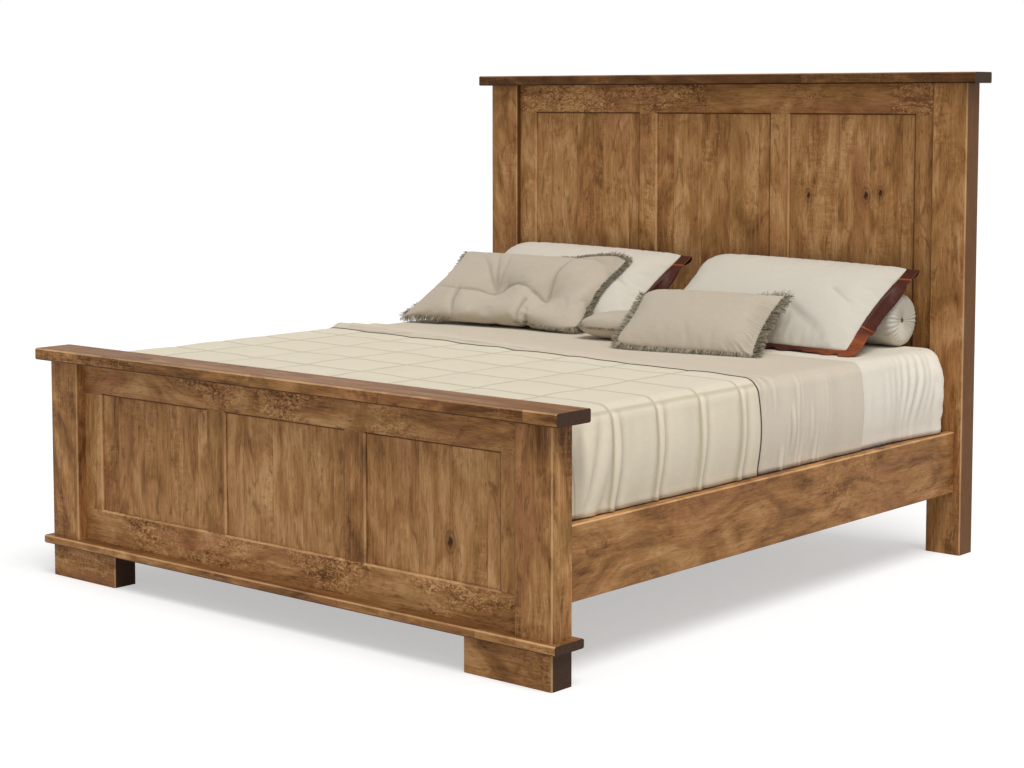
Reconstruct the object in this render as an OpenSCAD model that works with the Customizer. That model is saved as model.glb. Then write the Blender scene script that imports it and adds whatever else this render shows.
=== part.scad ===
// Panel bed: a tall headboard and a low footboard, each a frame with three flat panels between
// square posts under a thick cap. Side rails hook into the posts and carry cleats, slats, a
// centre beam on legs, a low foundation, the mattress and the made-up bedding.
// X runs across the bed, +Y from the foot to the head, +Z up. The origin is on the floor, in the
// middle of the bed's outline.

/* [Mattress] */
// Width of the mattress
mattress_w = 1960; // [1880:1:2000]
// Length of the mattress
mattress_l = 2040; // [1960:1:2120]
// Thickness of the mattress
mattress_t = 285; // [240:1:320]
// Radius of the mattress's upright corners at the foot, where the quilt draws them round
mattress_corner = 100; // [60:1:140]
// Radius of its upright corners at the head
head_corner = 60; // [50:1:140]
// Radius of the mattress's top and bottom edges
mattress_edge = 38; // [25:1:50]
// How far the mattress's sides swell at mid height
mattress_swell = 9; // [0:1:14]
// Height of the foundation between the slats and the mattress
foundation_t = 130; // [100:1:160]
// How far the foundation stays inside the mattress's outline
foundation_inset = 12; // [4:1:30]

/* [Bedding] */
// Thickness of a sheet
sheet_t = 1.5; // [1:0.1:3]
// Thickness of the quilt
quilt_t = 7; // [5:0.5:8]
// Gap between soft layers
soft_gap = 0.3; // [0.2:0.1:0.5]
// Size of the quilt's sewn squares
quilt_square = 205; // [160:1:260]
// How far the quilt puffs out between two seams
quilt_puff = 6; // [0:0.5:9]
// How far the top sheet's hanging folds stand out
sheet_fold = 5; // [0:0.5:8]
// Distance from the mattress's foot to the quilt's head edge on the right side
quilt_reach = 935; // [800:1:1000]
// How much further the quilt reaches on the left side
quilt_slant = 130; // [0:1:160]
// Distance from the mattress's foot to the top sheet's head edge
sheet_reach = 1515; // [1300:1:1700]

/* [Pillows and cushions] */
// Width, height and thickness of a sham pillow
sham_size = [840, 455, 150];
// Width of a sham's flat flange
sham_flange = 48; // [20:1:60]
// Width, height and thickness of the tufted cushion
tufted_size = [750, 455, 150];
// Width, height and thickness of the front cushion
lumbar_size = [510, 320, 125];
// Width, height and thickness of the small cushion
small_size = [380, 210, 98];
// Width of the cushions' brush fringe
fringe_w = 26; // [10:1:40]
// Places of the cushions' centres: from the middle of the bed, from the headboard, above the sheet
sham_right_at = [444, 220, 146];
sham_left_at = [-496, 220, 146];
tufted_at = [-595, 370, 125];
lumbar_at = [372, 575, 95];
small_at = [60, 505, 51];
// Radius of the roll behind the right sham
roll_r = 90; // [70:1:92]
// Distance from the middle of the bed to the roll's near end
roll_x = 78; // [60:1:120]
// Length of the roll
roll_l = 790; // [600:1:860]

/* [Posts] */
// Width of a post, seen from the foot
post_w = 130; // [110:1:150]
// Depth of a post
post_d = 85; // [75:1:100]
// Width of the flat taken off each long arris
arris = 4; // [1:0.5:6]

/* [Headboard] */
// Height of the headboard over its cap
head_h = 1626; // [1450:1:1750]
// Thickness of the headboard's cap
head_cap_t = 37; // [30:1:45]
// How far the headboard's cap stands out past the posts at each side
head_cap_side = 42; // [20:1:60]
// How far the headboard's cap stands out in front of the posts
head_cap_front = 28; // [10:1:40]
// How far the headboard's frame lies behind the front of the posts
head_set = 24; // [15:1:40]
// Height of the headboard's top rail
head_top_rail = 107; // [80:1:130]
// Height of the headboard's bottom rail
head_bottom_rail = 130; // [90:1:160]
// Height of the underside of the headboard's bottom rail
head_frame_low = 300; // [150:1:400]

/* [Footboard] */
// Height of the footboard over its cap
foot_h = 738; // [650:1:820]
// Thickness of the footboard's cap
foot_cap_t = 37; // [30:1:45]
// How far the footboard's cap stands out past the posts at each side
foot_cap_side = 39; // [20:1:60]
// How far the footboard's cap stands out in front of the posts
foot_cap_front = 30; // [10:1:40]
// How far the footboard's cap stands out behind the posts
foot_cap_back = 25; // [10:1:30]
// How far the footboard's frame lies behind the front of the posts
foot_set = 35; // [20:1:45]
// Height of the footboard's top rail
foot_top_rail = 100; // [80:1:130]
// Height of the footboard's bottom rail
foot_bottom_rail = 102; // [80:1:130]
// Thickness of the base board
base_t = 26; // [20:1:35]
// How far the base board stands out at each side
base_side = 24; // [10:1:40]
// How far the base board stands out in front and behind
base_lip = 18; // [8:1:30]
// Height of a foot block
block_h = 103; // [70:1:130]
// Width of a foot block
block_w = 310; // [200:1:400]

/* [Frame and panels] */
// Thickness of the frames
frame_t = 30; // [26:1:36]
// Width of the end stiles
stile_w = 80; // [60:1:110]
// Width of the stiles between two panels
mullion_w = 84; // [60:1:110]
// Thickness of a panel
panel_t = 12; // [9:1:14]
// How far a panel's face lies behind its frame
panel_set = 10; // [8:0.5:11]
// Depth of the grooves that hold the panels
groove_d = 10; // [8:1:14]
// Room for a panel to swell at each edge of its grooves
panel_play = 2; // [1:0.5:4]
// Width of the bevel round each panel
bevel = 5; // [3:0.5:7]
// Length of the rails' tenons in the posts
tenon_l = 40; // [25:1:60]
// Thickness of the tenons
tenon_t = 14; // [8:1:16]
// Shoulder above and below each tenon
tenon_shoulder = 12; // [6:1:20]
// Clearance round tenons, tongues, dowels and screws
fit_gap = 0.15; // [0.1:0.05:0.3]

/* [Side rails] */
// Thickness of a side rail
rail_t = 32; // [28:1:38]
// Height of a side rail
rail_h = 208; // [180:1:230]
// Height of a side rail's underside
rail_low = 212; // [180:1:240]
// How far a side rail lies inside the outer face of the posts
rail_inset = 28; // [15:1:40]
// Gap between the mattress and a side rail
side_gap = 8; // [6:1:22]
// Gap between the mattress and the posts at each end
end_gap = 15; // [14:1:25]

/* [Deck] */
// Number of slats
slat_count = 10;
// Width of a slat
slat_w = 120; // [80:1:130]
// Thickness of a slat
slat_t = 20; // [16:1:25]
// Height of the slats' top face
deck_h = 285; // [270:1:290]
// Gap at each end of the slats, cleats and beam
deck_gap = 30; // [15:1:50]
// Width of a cleat
cleat_w = 30; // [24:1:34]
// Height of a cleat
cleat_h = 40; // [32:1:45]
// Width of the centre beam
beam_w = 38; // [30:1:50]
// Height of the centre beam
beam_h = 90; // [70:1:110]
// Number of centre legs
leg_count = 3;
// Width of a centre leg
leg_w = 60; // [45:1:80]

/* [Rail fastenings] */
// Thickness of the steel plates
plate_t = 2.5; // [2:0.5:3]
// Width of the steel plates
plate_w = 22; // [18:1:24]
// Height of the steel plates
plate_h = 150; // [146:1:160]
// Thickness of a hook
hook_t = 3; // [2:0.5:4]
// Height of a hook's neck
hook_neck = 14; // [10:1:16]
// How far a hook's lip hangs behind its plate
hook_lip = 9; // [6:1:10]
// Depth of a hook behind its plate
hook_d = 8; // [6:1:10]
// Heights of the hook necks above the middle of the rail
hook_at = [18, -42];
// Distance of the plate screws from the ends of their plate
plate_screw_in = 11; // [8:1:12]
// Length of a plate screw
plate_screw_l = 28; // [20:1:35]
// Length of a deck screw
deck_screw_l = 44; // [38:1:48]
// Shank radius of the screws
screw_r = 2; // [1.5:0.1:2.5]
// Head radius of the screws
screw_head_r = 4; // [3.5:0.1:4.5]
// Height of the screws' countersunk heads
screw_head_h = 2; // [1.5:0.1:2.2]
// Radius of the dowels
dowel_r = 6; // [4:0.5:7]
// Length of the dowels
dowel_l = 60; // [50:1:62]

/* [Hidden] */

// Colours of the woods, metals and fabrics
wood = [0.47, 0.29, 0.15];
wood_dark = [0.38, 0.22, 0.11];
pine = [0.76, 0.62, 0.42];
steel = [0.55, 0.55, 0.57];
cream = [0.86, 0.81, 0.69];
greige = [0.74, 0.69, 0.61];
white = [0.90, 0.88, 0.84];

// Smoothness of screws, dowels and the roll
screw_fn = 16;
roll_fn = 48;
// A cut reaches this far past the face that it opens
past = 1;
// Screw heads lie this far below the face around them
sunk = 0.3;
// Room round the hooks in their slots and pockets
slot_room = 0.5;
pocket_room = 3;
// Taper of a hook's lip, and the corner taken off its top
hook_lead = 2;
hook_corner = 5;
// Gap at each end of a slat
slat_end = 2;

// Lengths and places along the bed
rail_l = mattress_l + 2 * end_gap;
bed_l = foot_cap_front + 2 * post_d + rail_l;
foot_y = foot_cap_front - bed_l / 2;
rail_y = foot_y + post_d;
head_y = rail_y + rail_l;
mid_y = rail_y + rail_l / 2;
deck_l = rail_l - 2 * deck_gap;

// Widths across the bed
rail_in = mattress_w / 2 + side_gap;
rail_mid = rail_in + rail_t / 2;
half_w = rail_in + rail_t + rail_inset;
frame_half = half_w - post_w;

// Heights
base_top = block_h + base_t;
slat_low = deck_h - slat_t;
cleat_low = slat_low - cleat_h;
beam_low = slat_low - beam_h;
mattress_low = deck_h + foundation_t;
mattress_top = mattress_low + mattress_t;
fitted_top = mattress_top + soft_gap + sheet_t;
sheet_top = fitted_top + soft_gap + sheet_t;

// A board is [set-back of its frame, underside of the frame, top of the frame, height of its
// bottom rail, height of its top rail, y of its posts' front faces]
head = [head_set, head_frame_low, head_h - head_cap_t, head_bottom_rail, head_top_rail, head_y];
foot = [foot_set, base_top, foot_h - foot_cap_t, foot_bottom_rail, foot_top_rail, foot_y];
function low(b) = b[1];
function top(b) = b[2];
function open_low(b) = b[1] + b[3];
function open_top(b) = b[2] - b[4];
function front(b) = b[5];
function frame_y(b) = b[5] + b[0];

// Three equal panels between the stiles
open_w = (2 * (frame_half - stile_w) - 2 * mullion_w) / 3;
function open_x(i) = (i - 1) * (open_w + mullion_w);
groove_w = panel_t + 2 * fit_gap;

// Dowels, each [x, y, z of its lower end]
post_mid = half_w - post_w / 2;
function cap_dowels(b, cap_t) = [
  for (x = [-post_mid, -frame_half / 2, 0, frame_half / 2, post_mid])
    let(y = abs(x) > frame_half ? front(b) + post_d / 2 : frame_y(b) + frame_t / 2)
    [x, y, top(b) + cap_t * 2 / 3 - dowel_l]];
head_dowels = cap_dowels(head, head_cap_t);
foot_dowels = cap_dowels(foot, foot_cap_t);
block_dowels = [
  for (s = [-1, 1]) for (x = [post_mid, half_w - post_w / 4])
    [s * x, foot_y + post_d / 2, block_h + base_t / 2 - dowel_l / 2]];
base_dowels = [
  for (x = [-frame_half / 2, 0, frame_half / 2])
    [x, frame_y(foot) + frame_t / 2, base_top - base_t * 3 / 4]];
leg_at = [for (i = [0:leg_count - 1]) rail_y + rail_l * (2 * i + 1) / (2 * leg_count)];
leg_dowels = [for (y = leg_at) [0, y, beam_low - dowel_l / 2]];

// Slats are spread evenly over the deck, with a screw at each cleat and at the centre beam
function slat_y(i) = rail_y + deck_gap + slat_w / 2 + i * (deck_l - slat_w) / (slat_count - 1);
slat_l = 2 * (rail_in - slat_end);
slat_screw_x = [-(rail_in - cleat_w / 2), 0, rail_in - cleat_w / 2];
cleat_screw_y = [for (i = [0:2:slat_count - 2]) (slat_y(i) + slat_y(i + 1)) / 2];

// A square-cut bar with its long arrises taken off
module bar_profile(w, d) {
  a = w / 2;
  b = d / 2;
  polygon([
    [-a + arris, -b], [a - arris, -b], [a, -b + arris], [a, b - arris],
    [a - arris, b], [-a + arris, b], [-a, b - arris], [-a, -b + arris]]);
}

module upright(w, d, h) {
  linear_extrude(h) bar_profile(w, d);
}

module board_along_x(l, d, h) {
  rotate([90, 0, 90]) translate([0, 0, -l / 2]) linear_extrude(l) bar_profile(d, h);
}

module dowel_holes(spots) {
  for (p = spots) translate([p.x, p.y, p.z - past])
    cylinder(r = dowel_r + fit_gap, h = dowel_l + 2 * past, $fn = screw_fn);
}

// A screw pointing down, with its head's face at the origin
module wood_screw(l, gap = 0) {
  translate([0, 0, -l - gap]) cylinder(r = screw_r + gap, h = l + gap, $fn = screw_fn);
  translate([0, 0, -screw_head_h])
    cylinder(r1 = screw_r + gap, r2 = screw_head_r + gap, h = screw_head_h, $fn = screw_fn);
}

// Its hole, which opens at the face that the head is sunk below
module screw_hole(l) {
  wood_screw(l, fit_gap);
  translate([0, 0, -sunk / 10]) cylinder(r = screw_head_r + fit_gap, h = past, $fn = screw_fn);
}

// Rail fastenings. Each is drawn at the right head corner, in a frame whose origin is the middle
// of the joint face, with +Y into the post, and is repeated at the other corners by mirroring.
module at_corners() {
  for (sx = [0, 1]) mirror([sx, 0, 0])
    for (sy = [0, 1]) translate([0, mid_y, 0]) mirror([0, sy, 0])
      translate([rail_mid, rail_l / 2, rail_low + rail_h / 2]) children();
}

module at_plate_screws() {
  for (s = [-1, 1]) translate([0, sunk, s * (plate_h / 2 - plate_screw_in)]) rotate([90, 0, 0]) children();
}

module hook_plate() {
  reach = plate_t + sunk;
  tip = reach + hook_d;
  mirror([0, 1, 0]) difference() {
    translate([-plate_w / 2, 0, -plate_h / 2]) cube([plate_w, plate_t, plate_h]);
    at_plate_screws() screw_hole(plate_screw_l);
  }
  for (z = hook_at) translate([-hook_t / 2, 0, z]) rotate([90, 0, 90]) linear_extrude(hook_t)
    polygon([
      [-plate_t, 0], [reach, 0], [reach, hook_lead - hook_lip], [reach + hook_lead, -hook_lip],
      [tip, -hook_lip], [tip, hook_neck - hook_corner], [tip - hook_corner, hook_neck],
      [-plate_t, hook_neck]]);
}

module slot_plate() {
  difference() {
    translate([-plate_w / 2, 0, -plate_h / 2]) cube([plate_w, plate_t, plate_h]);
    for (z = hook_at) translate([-hook_t / 2 - slot_room, -past, z])
      cube([hook_t + 2 * slot_room, plate_t + 2 * past, hook_neck + hook_lip + 4 * slot_room]);
    at_plate_screws() screw_hole(plate_screw_l);
  }
}

module plate_recess() {
  translate([-plate_w / 2 - fit_gap, -past, -plate_h / 2 - fit_gap])
    cube([plate_w + 2 * fit_gap, plate_t + past, plate_h + 2 * fit_gap]);
  at_plate_screws() wood_screw(plate_screw_l, fit_gap);
}

// The pocket in a post behind a slot plate, where the hooks hang
module hook_pockets() {
  for (z = hook_at) translate([-hook_t / 2 - pocket_room, plate_t - past, z - hook_lip - pocket_room])
    cube([hook_t + 2 * pocket_room, hook_d + pocket_room + past, hook_neck + 2 * (hook_lip + pocket_room)]);
}

// Posts. The right one is drawn and the left one is its mirror image.
module post(b, z0, dowel_spots) {
  difference() {
    translate([post_mid, front(b) + post_d / 2, z0]) upright(post_w, post_d, top(b) - z0);
    mortise(b, low(b), open_low(b));
    mortise(b, open_top(b), top(b));
    at_corners() {
      plate_recess();
      hook_pockets();
    }
    dowel_holes(dowel_spots);
  }
}

module mortise(b, z0, z1) {
  y0 = frame_y(b) + (frame_t - tenon_t) / 2 - fit_gap;
  translate([frame_half - past, y0, z0 + tenon_shoulder - fit_gap])
    cube([tenon_l + 2 * past, tenon_t + 2 * fit_gap, z1 - z0 - 2 * (tenon_shoulder - fit_gap)]);
}

// The bevelled edge of the frame round each panel opening
module bevel_cut(b) {
  w = open_w / 2;
  h = (open_top(b) - open_low(b)) / 2;
  a = bevel + past;
  for (i = [0:2]) translate([open_x(i), frame_y(b), open_low(b) + h])
    polyhedron(
      points = [
        [-w - a, -past, -h - a], [w + a, -past, -h - a], [w + a, -past, h + a], [-w - a, -past, h + a],
        [-w, bevel, -h], [w, bevel, -h], [w, bevel, h], [-w, bevel, h]],
      faces = [[3, 2, 1, 0], [4, 5, 6, 7], [1, 5, 4, 0], [2, 6, 5, 1], [3, 7, 6, 2], [0, 4, 7, 3]]);
}

// A rail of a frame between two heights, with tenons and a groove in its upper or lower edge
module frame_rail(b, z0, z1, groove_up, dowel_spots) {
  y0 = frame_y(b);
  difference() {
    union() {
      translate([-frame_half, y0, z0]) cube([2 * frame_half, frame_t, z1 - z0]);
      for (s = [0, 1]) mirror([s, 0, 0])
        translate([frame_half - past, y0 + (frame_t - tenon_t) / 2, z0 + tenon_shoulder])
          cube([tenon_l + past, tenon_t, z1 - z0 - 2 * tenon_shoulder]);
    }
    translate([-frame_half - past, y0 + panel_set - fit_gap, groove_up ? z1 - groove_d : z0 - past])
      cube([2 * (frame_half + past), groove_w, groove_d + past]);
    bevel_cut(b);
    dowel_holes(dowel_spots);
  }
}

// An upright of a frame between the rails, with a tongue in each rail's groove and a groove for
// a panel on each side listed
module frame_upright(b, x, w, sides) {
  y0 = frame_y(b);
  h = open_top(b) - open_low(b);
  tongue = groove_d - fit_gap;
  difference() {
    union() {
      translate([x - w / 2, y0, open_low(b)]) cube([w, frame_t, h]);
      translate([x - w / 2, y0 + panel_set, open_low(b) - tongue]) cube([w, panel_t, h + 2 * tongue]);
    }
    for (s = sides)
      translate([x + s * w / 2 - (s > 0 ? groove_d : past), y0 + panel_set - fit_gap, open_low(b) - groove_d])
        cube([groove_d + past, groove_w, h + 2 * groove_d]);
    bevel_cut(b);
  }
}

module frame_stile(b) {
  color(wood) frame_upright(b, frame_half - stile_w / 2, stile_w, [-1]);
}

module frame_mullion(b) {
  color(wood) frame_upright(b, (open_w + mullion_w) / 2, mullion_w, [-1, 1]);
}

module frame_panel(b, i) {
  reach = groove_d - panel_play;
  color(wood) translate([open_x(i) - open_w / 2 - reach, frame_y(b) + panel_set, open_low(b) - reach])
    cube([open_w + 2 * reach, panel_t, open_top(b) - open_low(b) + 2 * reach]);
}

module headboard_post() {
  color(wood) post(head, 0, head_dowels);
}

module headboard_cap() {
  d = post_d + head_cap_front;
  color(wood_dark) difference() {
    translate([0, head_y - head_cap_front + d / 2, head_h - head_cap_t / 2])
      board_along_x(2 * (half_w + head_cap_side), d, head_cap_t);
    dowel_holes(head_dowels);
  }
}

module headboard_top_rail() {
  color(wood) frame_rail(head, open_top(head), top(head), false, head_dowels);
}

module headboard_bottom_rail() {
  color(wood) frame_rail(head, low(head), open_low(head), true, []);
}

module footboard_post() {
  color(wood) post(foot, base_top, concat(foot_dowels, block_dowels));
}

module footboard_cap() {
  d = post_d + foot_cap_front + foot_cap_back;
  color(wood_dark) difference() {
    translate([0, foot_y - foot_cap_front + d / 2, foot_h - foot_cap_t / 2])
      board_along_x(2 * (half_w + foot_cap_side), d, foot_cap_t);
    dowel_holes(foot_dowels);
  }
}

module footboard_top_rail() {
  color(wood) frame_rail(foot, open_top(foot), top(foot), false, foot_dowels);
}

module footboard_bottom_rail() {
  color(wood) frame_rail(foot, low(foot), open_low(foot), true, base_dowels);
}

module base_board() {
  color(wood_dark) difference() {
    translate([0, foot_y + post_d / 2, block_h + base_t / 2])
      board_along_x(2 * (half_w + base_side), post_d + 2 * base_lip, base_t);
    dowel_holes(concat(block_dowels, base_dowels));
  }
}

module foot_block() {
  color(wood) difference() {
    translate([half_w - block_w / 2, foot_y + post_d / 2, 0]) upright(block_w, post_d, block_h);
    dowel_holes(block_dowels);
  }
}

module side_rail() {
  color(wood) difference() {
    translate([rail_mid, mid_y, rail_low + rail_h / 2])
      rotate([0, 0, 90]) board_along_x(rail_l, rail_t, rail_h);
    at_corners() mirror([0, 1, 0]) plate_recess();
    at_cleat_screws() wood_screw(deck_screw_l, fit_gap);
  }
}

// Deck screws go through the cleats into the rails, and down through the slats
module at_cleat_screws() {
  for (s = [0, 1]) mirror([s, 0, 0]) for (y = cleat_screw_y)
    translate([rail_in - cleat_w + sunk, y, cleat_low + cleat_h / 2]) rotate([0, -90, 0]) children();
}

module at_slat_screws(rows, across) {
  for (i = rows) for (x = across) translate([x, slat_y(i), deck_h - sunk]) children();
}

module cleat() {
  color(pine) difference() {
    translate([rail_in - cleat_w, rail_y + deck_gap, cleat_low]) cube([cleat_w, deck_l, cleat_h]);
    at_cleat_screws() screw_hole(deck_screw_l);
    at_slat_screws([0:slat_count - 1], slat_screw_x) wood_screw(deck_screw_l, fit_gap);
  }
}

module slat(i) {
  color(pine) difference() {
    translate([-slat_l / 2, slat_y(i) - slat_w / 2, slat_low]) cube([slat_l, slat_w, slat_t]);
    at_slat_screws([i], slat_screw_x) screw_hole(deck_screw_l);
  }
}

module centre_beam() {
  color(pine) difference() {
    translate([-beam_w / 2, rail_y + deck_gap, beam_low]) cube([beam_w, deck_l, beam_h]);
    at_slat_screws([0:slat_count - 1], [0]) wood_screw(deck_screw_l, fit_gap);
    dowel_holes(leg_dowels);
  }
}

module centre_legs() {
  color(pine) difference() {
    for (y = leg_at) translate([0, y, 0]) upright(leg_w, leg_w, beam_low);
    dowel_holes(leg_dowels);
  }
}

module deck_screws() {
  color(steel) {
    at_cleat_screws() wood_screw(deck_screw_l);
    at_slat_screws([0:slat_count - 1], slat_screw_x) wood_screw(deck_screw_l);
  }
}

module dowels() {
  color(pine) for (p = concat(head_dowels, foot_dowels, block_dowels, base_dowels, leg_dowels))
    translate(p) cylinder(r = dowel_r, h = dowel_l, $fn = screw_fn);
}

module rail_hook_plates() {
  color(steel) at_corners() hook_plate();
}

module post_slot_plates() {
  color(steel) at_corners() slot_plate();
}

module plate_screws() {
  color(steel) at_corners() for (into_rail = [0, 1])
    mirror([0, into_rail, 0]) at_plate_screws() wood_screw(plate_screw_l);
}

module foundation() {
  w = mattress_w - 2 * foundation_inset - mattress_corner;
  l = mattress_l - 2 * foundation_inset - mattress_corner;
  color(white) translate([0, mid_y, deck_h]) linear_extrude(foundation_t)
    offset(r = mattress_corner / 2) square([w, l], center = true);
}

// Soft layers. The mattress and the cloths over it follow one rounded slab, each at its own
// distance outside it. An outline is a list of [x, y, outward x, outward y]. It starts at the
// head's left corner and runs down the left side, across the foot and up the right side.
// A profile is a list of [distance out, height, share of the folds].
corner_steps = 5;
edge_step = 30;
straight_gap = 460;
cross_gap = 900;
slab_x = mattress_w / 2 - mattress_corner;
foot_edge = mid_y - mattress_l / 2;
head_edge = mid_y + mattress_l / 2;
slab_foot = foot_edge + mattress_corner;
head_x = mattress_w / 2 - head_corner;
slab_head = head_edge - head_corner;
slab_low = mattress_low + mattress_edge;
slab_top = mattress_top - mattress_edge;
// Share of the hanging folds that is left where the side meets the top
fold_end = 0.4;

function side_line(side, y0, y1, gap) =
  let(n = max(1, ceil(abs(y1 - y0) / gap)))
  [for (i = [0:n]) [side * mattress_w / 2, y0 + (y1 - y0) * i / n, side, 0]];

function cross_line(x, y, s) =
  let(n = ceil(2 * x / cross_gap))
  [for (i = [0:n]) [s * x * (2 * i / n - 1), y, 0, -s]];

function corner(x, y, r, from) = [
  for (i = [1:corner_steps - 1]) let(a = from + 90 * i / corner_steps)
    [x + r * cos(a), y + r * sin(a), cos(a), sin(a)]];

foot_turn = concat(
  corner(-slab_x, slab_foot, mattress_corner, 180), cross_line(slab_x, foot_edge, 1),
  corner(slab_x, slab_foot, mattress_corner, 270));

whole_outline = concat(
  side_line(-1, slab_head, slab_foot, straight_gap), foot_turn,
  side_line(1, slab_foot, slab_head, straight_gap),
  corner(head_x, slab_head, head_corner, 0), cross_line(head_x, head_edge, -1),
  corner(-head_x, slab_head, head_corner, 90));

// A point of the rounded edge about the height z, at the angle a and the distance d outside it
function edge_point(a, z, d) =
  let(r = mattress_edge + d)
  [r * cos(a) - mattress_edge, z + r * sin(a), a < 0 ? 1 : 0];

function slab_profile(d, lowest) = concat(
  [for (a = [lowest:edge_step:-1]) edge_point(a, slab_low, d)],
  [for (f = [0, 0.5, 1])
    [d + mattress_swell * sin(180 * f), slab_low + (slab_top - slab_low) * f, 1 - (1 - fold_end) * f]],
  [for (a = [edge_step:edge_step:90]) edge_point(a, slab_top, d)]);

// A cloth's profile runs down its inner face and up its outer one
function cloth_profile(d, t) =
  let(inner = slab_profile(d, -edge_step))
  concat([for (i = [len(inner) - 1:-1:0]) inner[i]], slab_profile(d + t, -edge_step));

// Faces between two rows of n points, and from a row to a point in its middle
function band(a, b, n, closed) = [
  for (k = [0:closed ? n - 1 : n - 2]) let(j = (k + 1) % n)
    each [[a + k, b + k, a + j], [a + j, b + k, b + j]]];

function fan(a, n, mid, up) = [
  for (k = [0:n - 1]) let(j = (k + 1) % n) up ? [a + k, mid, a + j] : [a + k, a + j, mid]];

// The cut edge of a cloth, up each side and across the top
function cut_edge(n, rows) = [
  for (j = [0:rows / 2 - 2]) let(i = j * n, o = (rows - 1 - j) * n, e = n - 1)
    each [
      [i, o, o - n], [i, o - n, i + n],
      [o + e, i + e, i + n + e], [o + e, i + n + e, o - n + e]],
  [(rows - 1) * n + n - 1, (rows - 1) * n, 0], [(rows - 1) * n + n - 1, 0, n - 1]];

module slab_skin(outline, folds, profile, closed) {
  n = len(outline);
  rows = len(profile);
  y_mid = closed ? mid_y : (outline[0].y + outline[n - 1].y) / 2 - mattress_l / 5;
  points = [
    for (p = profile) for (k = [0:n - 1])
      let(q = outline[k], out = p[0] + p[2] * folds[k])
      [q[0] + q[2] * out, q[1] + q[3] * out, p[1]],
    [0, y_mid, profile[0][1]],
    [0, y_mid, profile[rows - 1][1]]];
  polyhedron(points = points, faces = concat(
    [for (j = [0:rows - 2]) each band(j * n, (j + 1) * n, n, closed)],
    fan(0, n, rows * n, false),
    fan((rows - 1) * n, n, rows * n + 1, true),
    closed ? [] : cut_edge(n, rows)));
}

no_folds = [for (q = whole_outline) 0];

module mattress() {
  color(white) slab_skin(whole_outline, no_folds, slab_profile(0, -90), true);
}

module fitted_sheet() {
  color(white) slab_skin(whole_outline, no_folds, cloth_profile(soft_gap, sheet_t), true);
}

// The quilt puffs out between its seams, and its head edge lies a little askew
seam_points = 4;
quilt_right = foot_edge + quilt_reach;
quilt_left = quilt_right + quilt_slant;
quilt_d = 3 * soft_gap + 2 * sheet_t;

module quilt() {
  gap = quilt_square / seam_points;
  o = concat(
    side_line(-1, quilt_left, slab_foot, gap), foot_turn, side_line(1, slab_foot, quilt_right, gap));
  puffs = [for (q = o) abs(q[2]) < 1 ? 0 : quilt_puff * abs(sin(180 * (q.y - foot_edge) / quilt_square))];
  color(cream) slab_skin(o, puffs, cloth_profile(quilt_d, quilt_t), false);
}

// Past the quilt the top sheet hangs in upright folds, which grow over a short stretch
fold_pitch = 96;
fold_points = 4;
fold_grow = 60;
fold_wander = 40;
sheet_edge = foot_edge + sheet_reach;
sheet_d = 2 * soft_gap + sheet_t;

module top_sheet() {
  gap = fold_pitch / fold_points;
  o = concat(
    side_line(-1, sheet_edge, quilt_left, gap), side_line(-1, quilt_left - gap, slab_foot, straight_gap),
    foot_turn,
    side_line(1, slab_foot, quilt_right - gap, straight_gap), side_line(1, quilt_right, sheet_edge, gap));
  folds = [
    for (q = o)
      let(start = (q.x > 0 ? quilt_right : quilt_left) + gap, grown = (q.y - start) / fold_grow,
          turn = 360 * q.y / fold_pitch)
      sheet_fold * min(1, max(0, grown)) * (1 + sin(turn + fold_wander * sin(turn / 7))) / 2];
  color(greige) slab_skin(o, folds, cloth_profile(sheet_d, sheet_t), false);
}

// Cushions. Each is drawn flat, with its front face up, and is then tilted up at its far edge,
// turned about the upright and set down. Where it would enter the bed, the roll or a cushion
// behind it, it gives way. A cushion is
// [size, draw-in of its sides, trim width, trim thickness, tilt, turn, centre, tufts, lean], where
// lean turns it in its own plane, so that its right end is lower.
function size(c) = c[0];
function draw_in(c) = c[1];
function trim_w(c) = c[2];
function trim_t(c) = c[3];
function tilt(c) = c[4];
function turn(c) = c[5];
function centre(c) = c[6];
function tufts(c) = c[7];
function lean(c) = c[8];

function on_bed(at) = [at.x, head_y - at.y, fitted_top + at.z];
tuft_grid = [for (x = [-0.42, 0, 0.42]) for (y = [-0.36, 0.36]) [x, y]];
right_sham = [sham_size, 0.05, sham_flange, 3, 34, 0, on_bed(sham_right_at), [], 1.6];
left_sham = [sham_size, 0.05, sham_flange, 3, 34, 0, on_bed(sham_left_at), [], 1.6];
tufted = [tufted_size, 0.06, fringe_w, 8, 28, 8, on_bed(tufted_at), tuft_grid, 2.5];
small = [small_size, 0.05, fringe_w, 6, 2, 6, on_bed(small_at), [], 0];
lumbar = [lumbar_size, 0.07, fringe_w, 9, 31, 13, on_bed(lumbar_at), [], 0.8];
tuft_depth = 34;
tuft_r = 62;
// Shape of a cushion's swell: how flat its middle is and how blunt its edge
crown_flat = 2.4;
crown_blunt = 0.55;
// Neighbours keep this far apart, so that a facet between two of their points stays clear
facet_gap = 3;

// The roll lies on the fitted sheet, just in front of the headboard
roll_back = 5;
roll_end = 30;
roll_button = 14;
roll_at = [roll_x + roll_l / 2, head_y + head_set - roll_back - roll_r, fitted_top + soft_gap + roll_r];

function crown(c, u, v) =
  size(c).z / 2 * pow((1 - pow(abs(u), crown_flat)) * (1 - pow(abs(v), crown_flat)), crown_blunt);

function tuft(c, x, y) = max([
  0,
  for (q = tufts(c))
    let(d = norm([x - q.x * size(c).x / 2, y - q.y * size(c).y / 2]) / tuft_r)
    tuft_depth * exp(-d * d)]);

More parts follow.
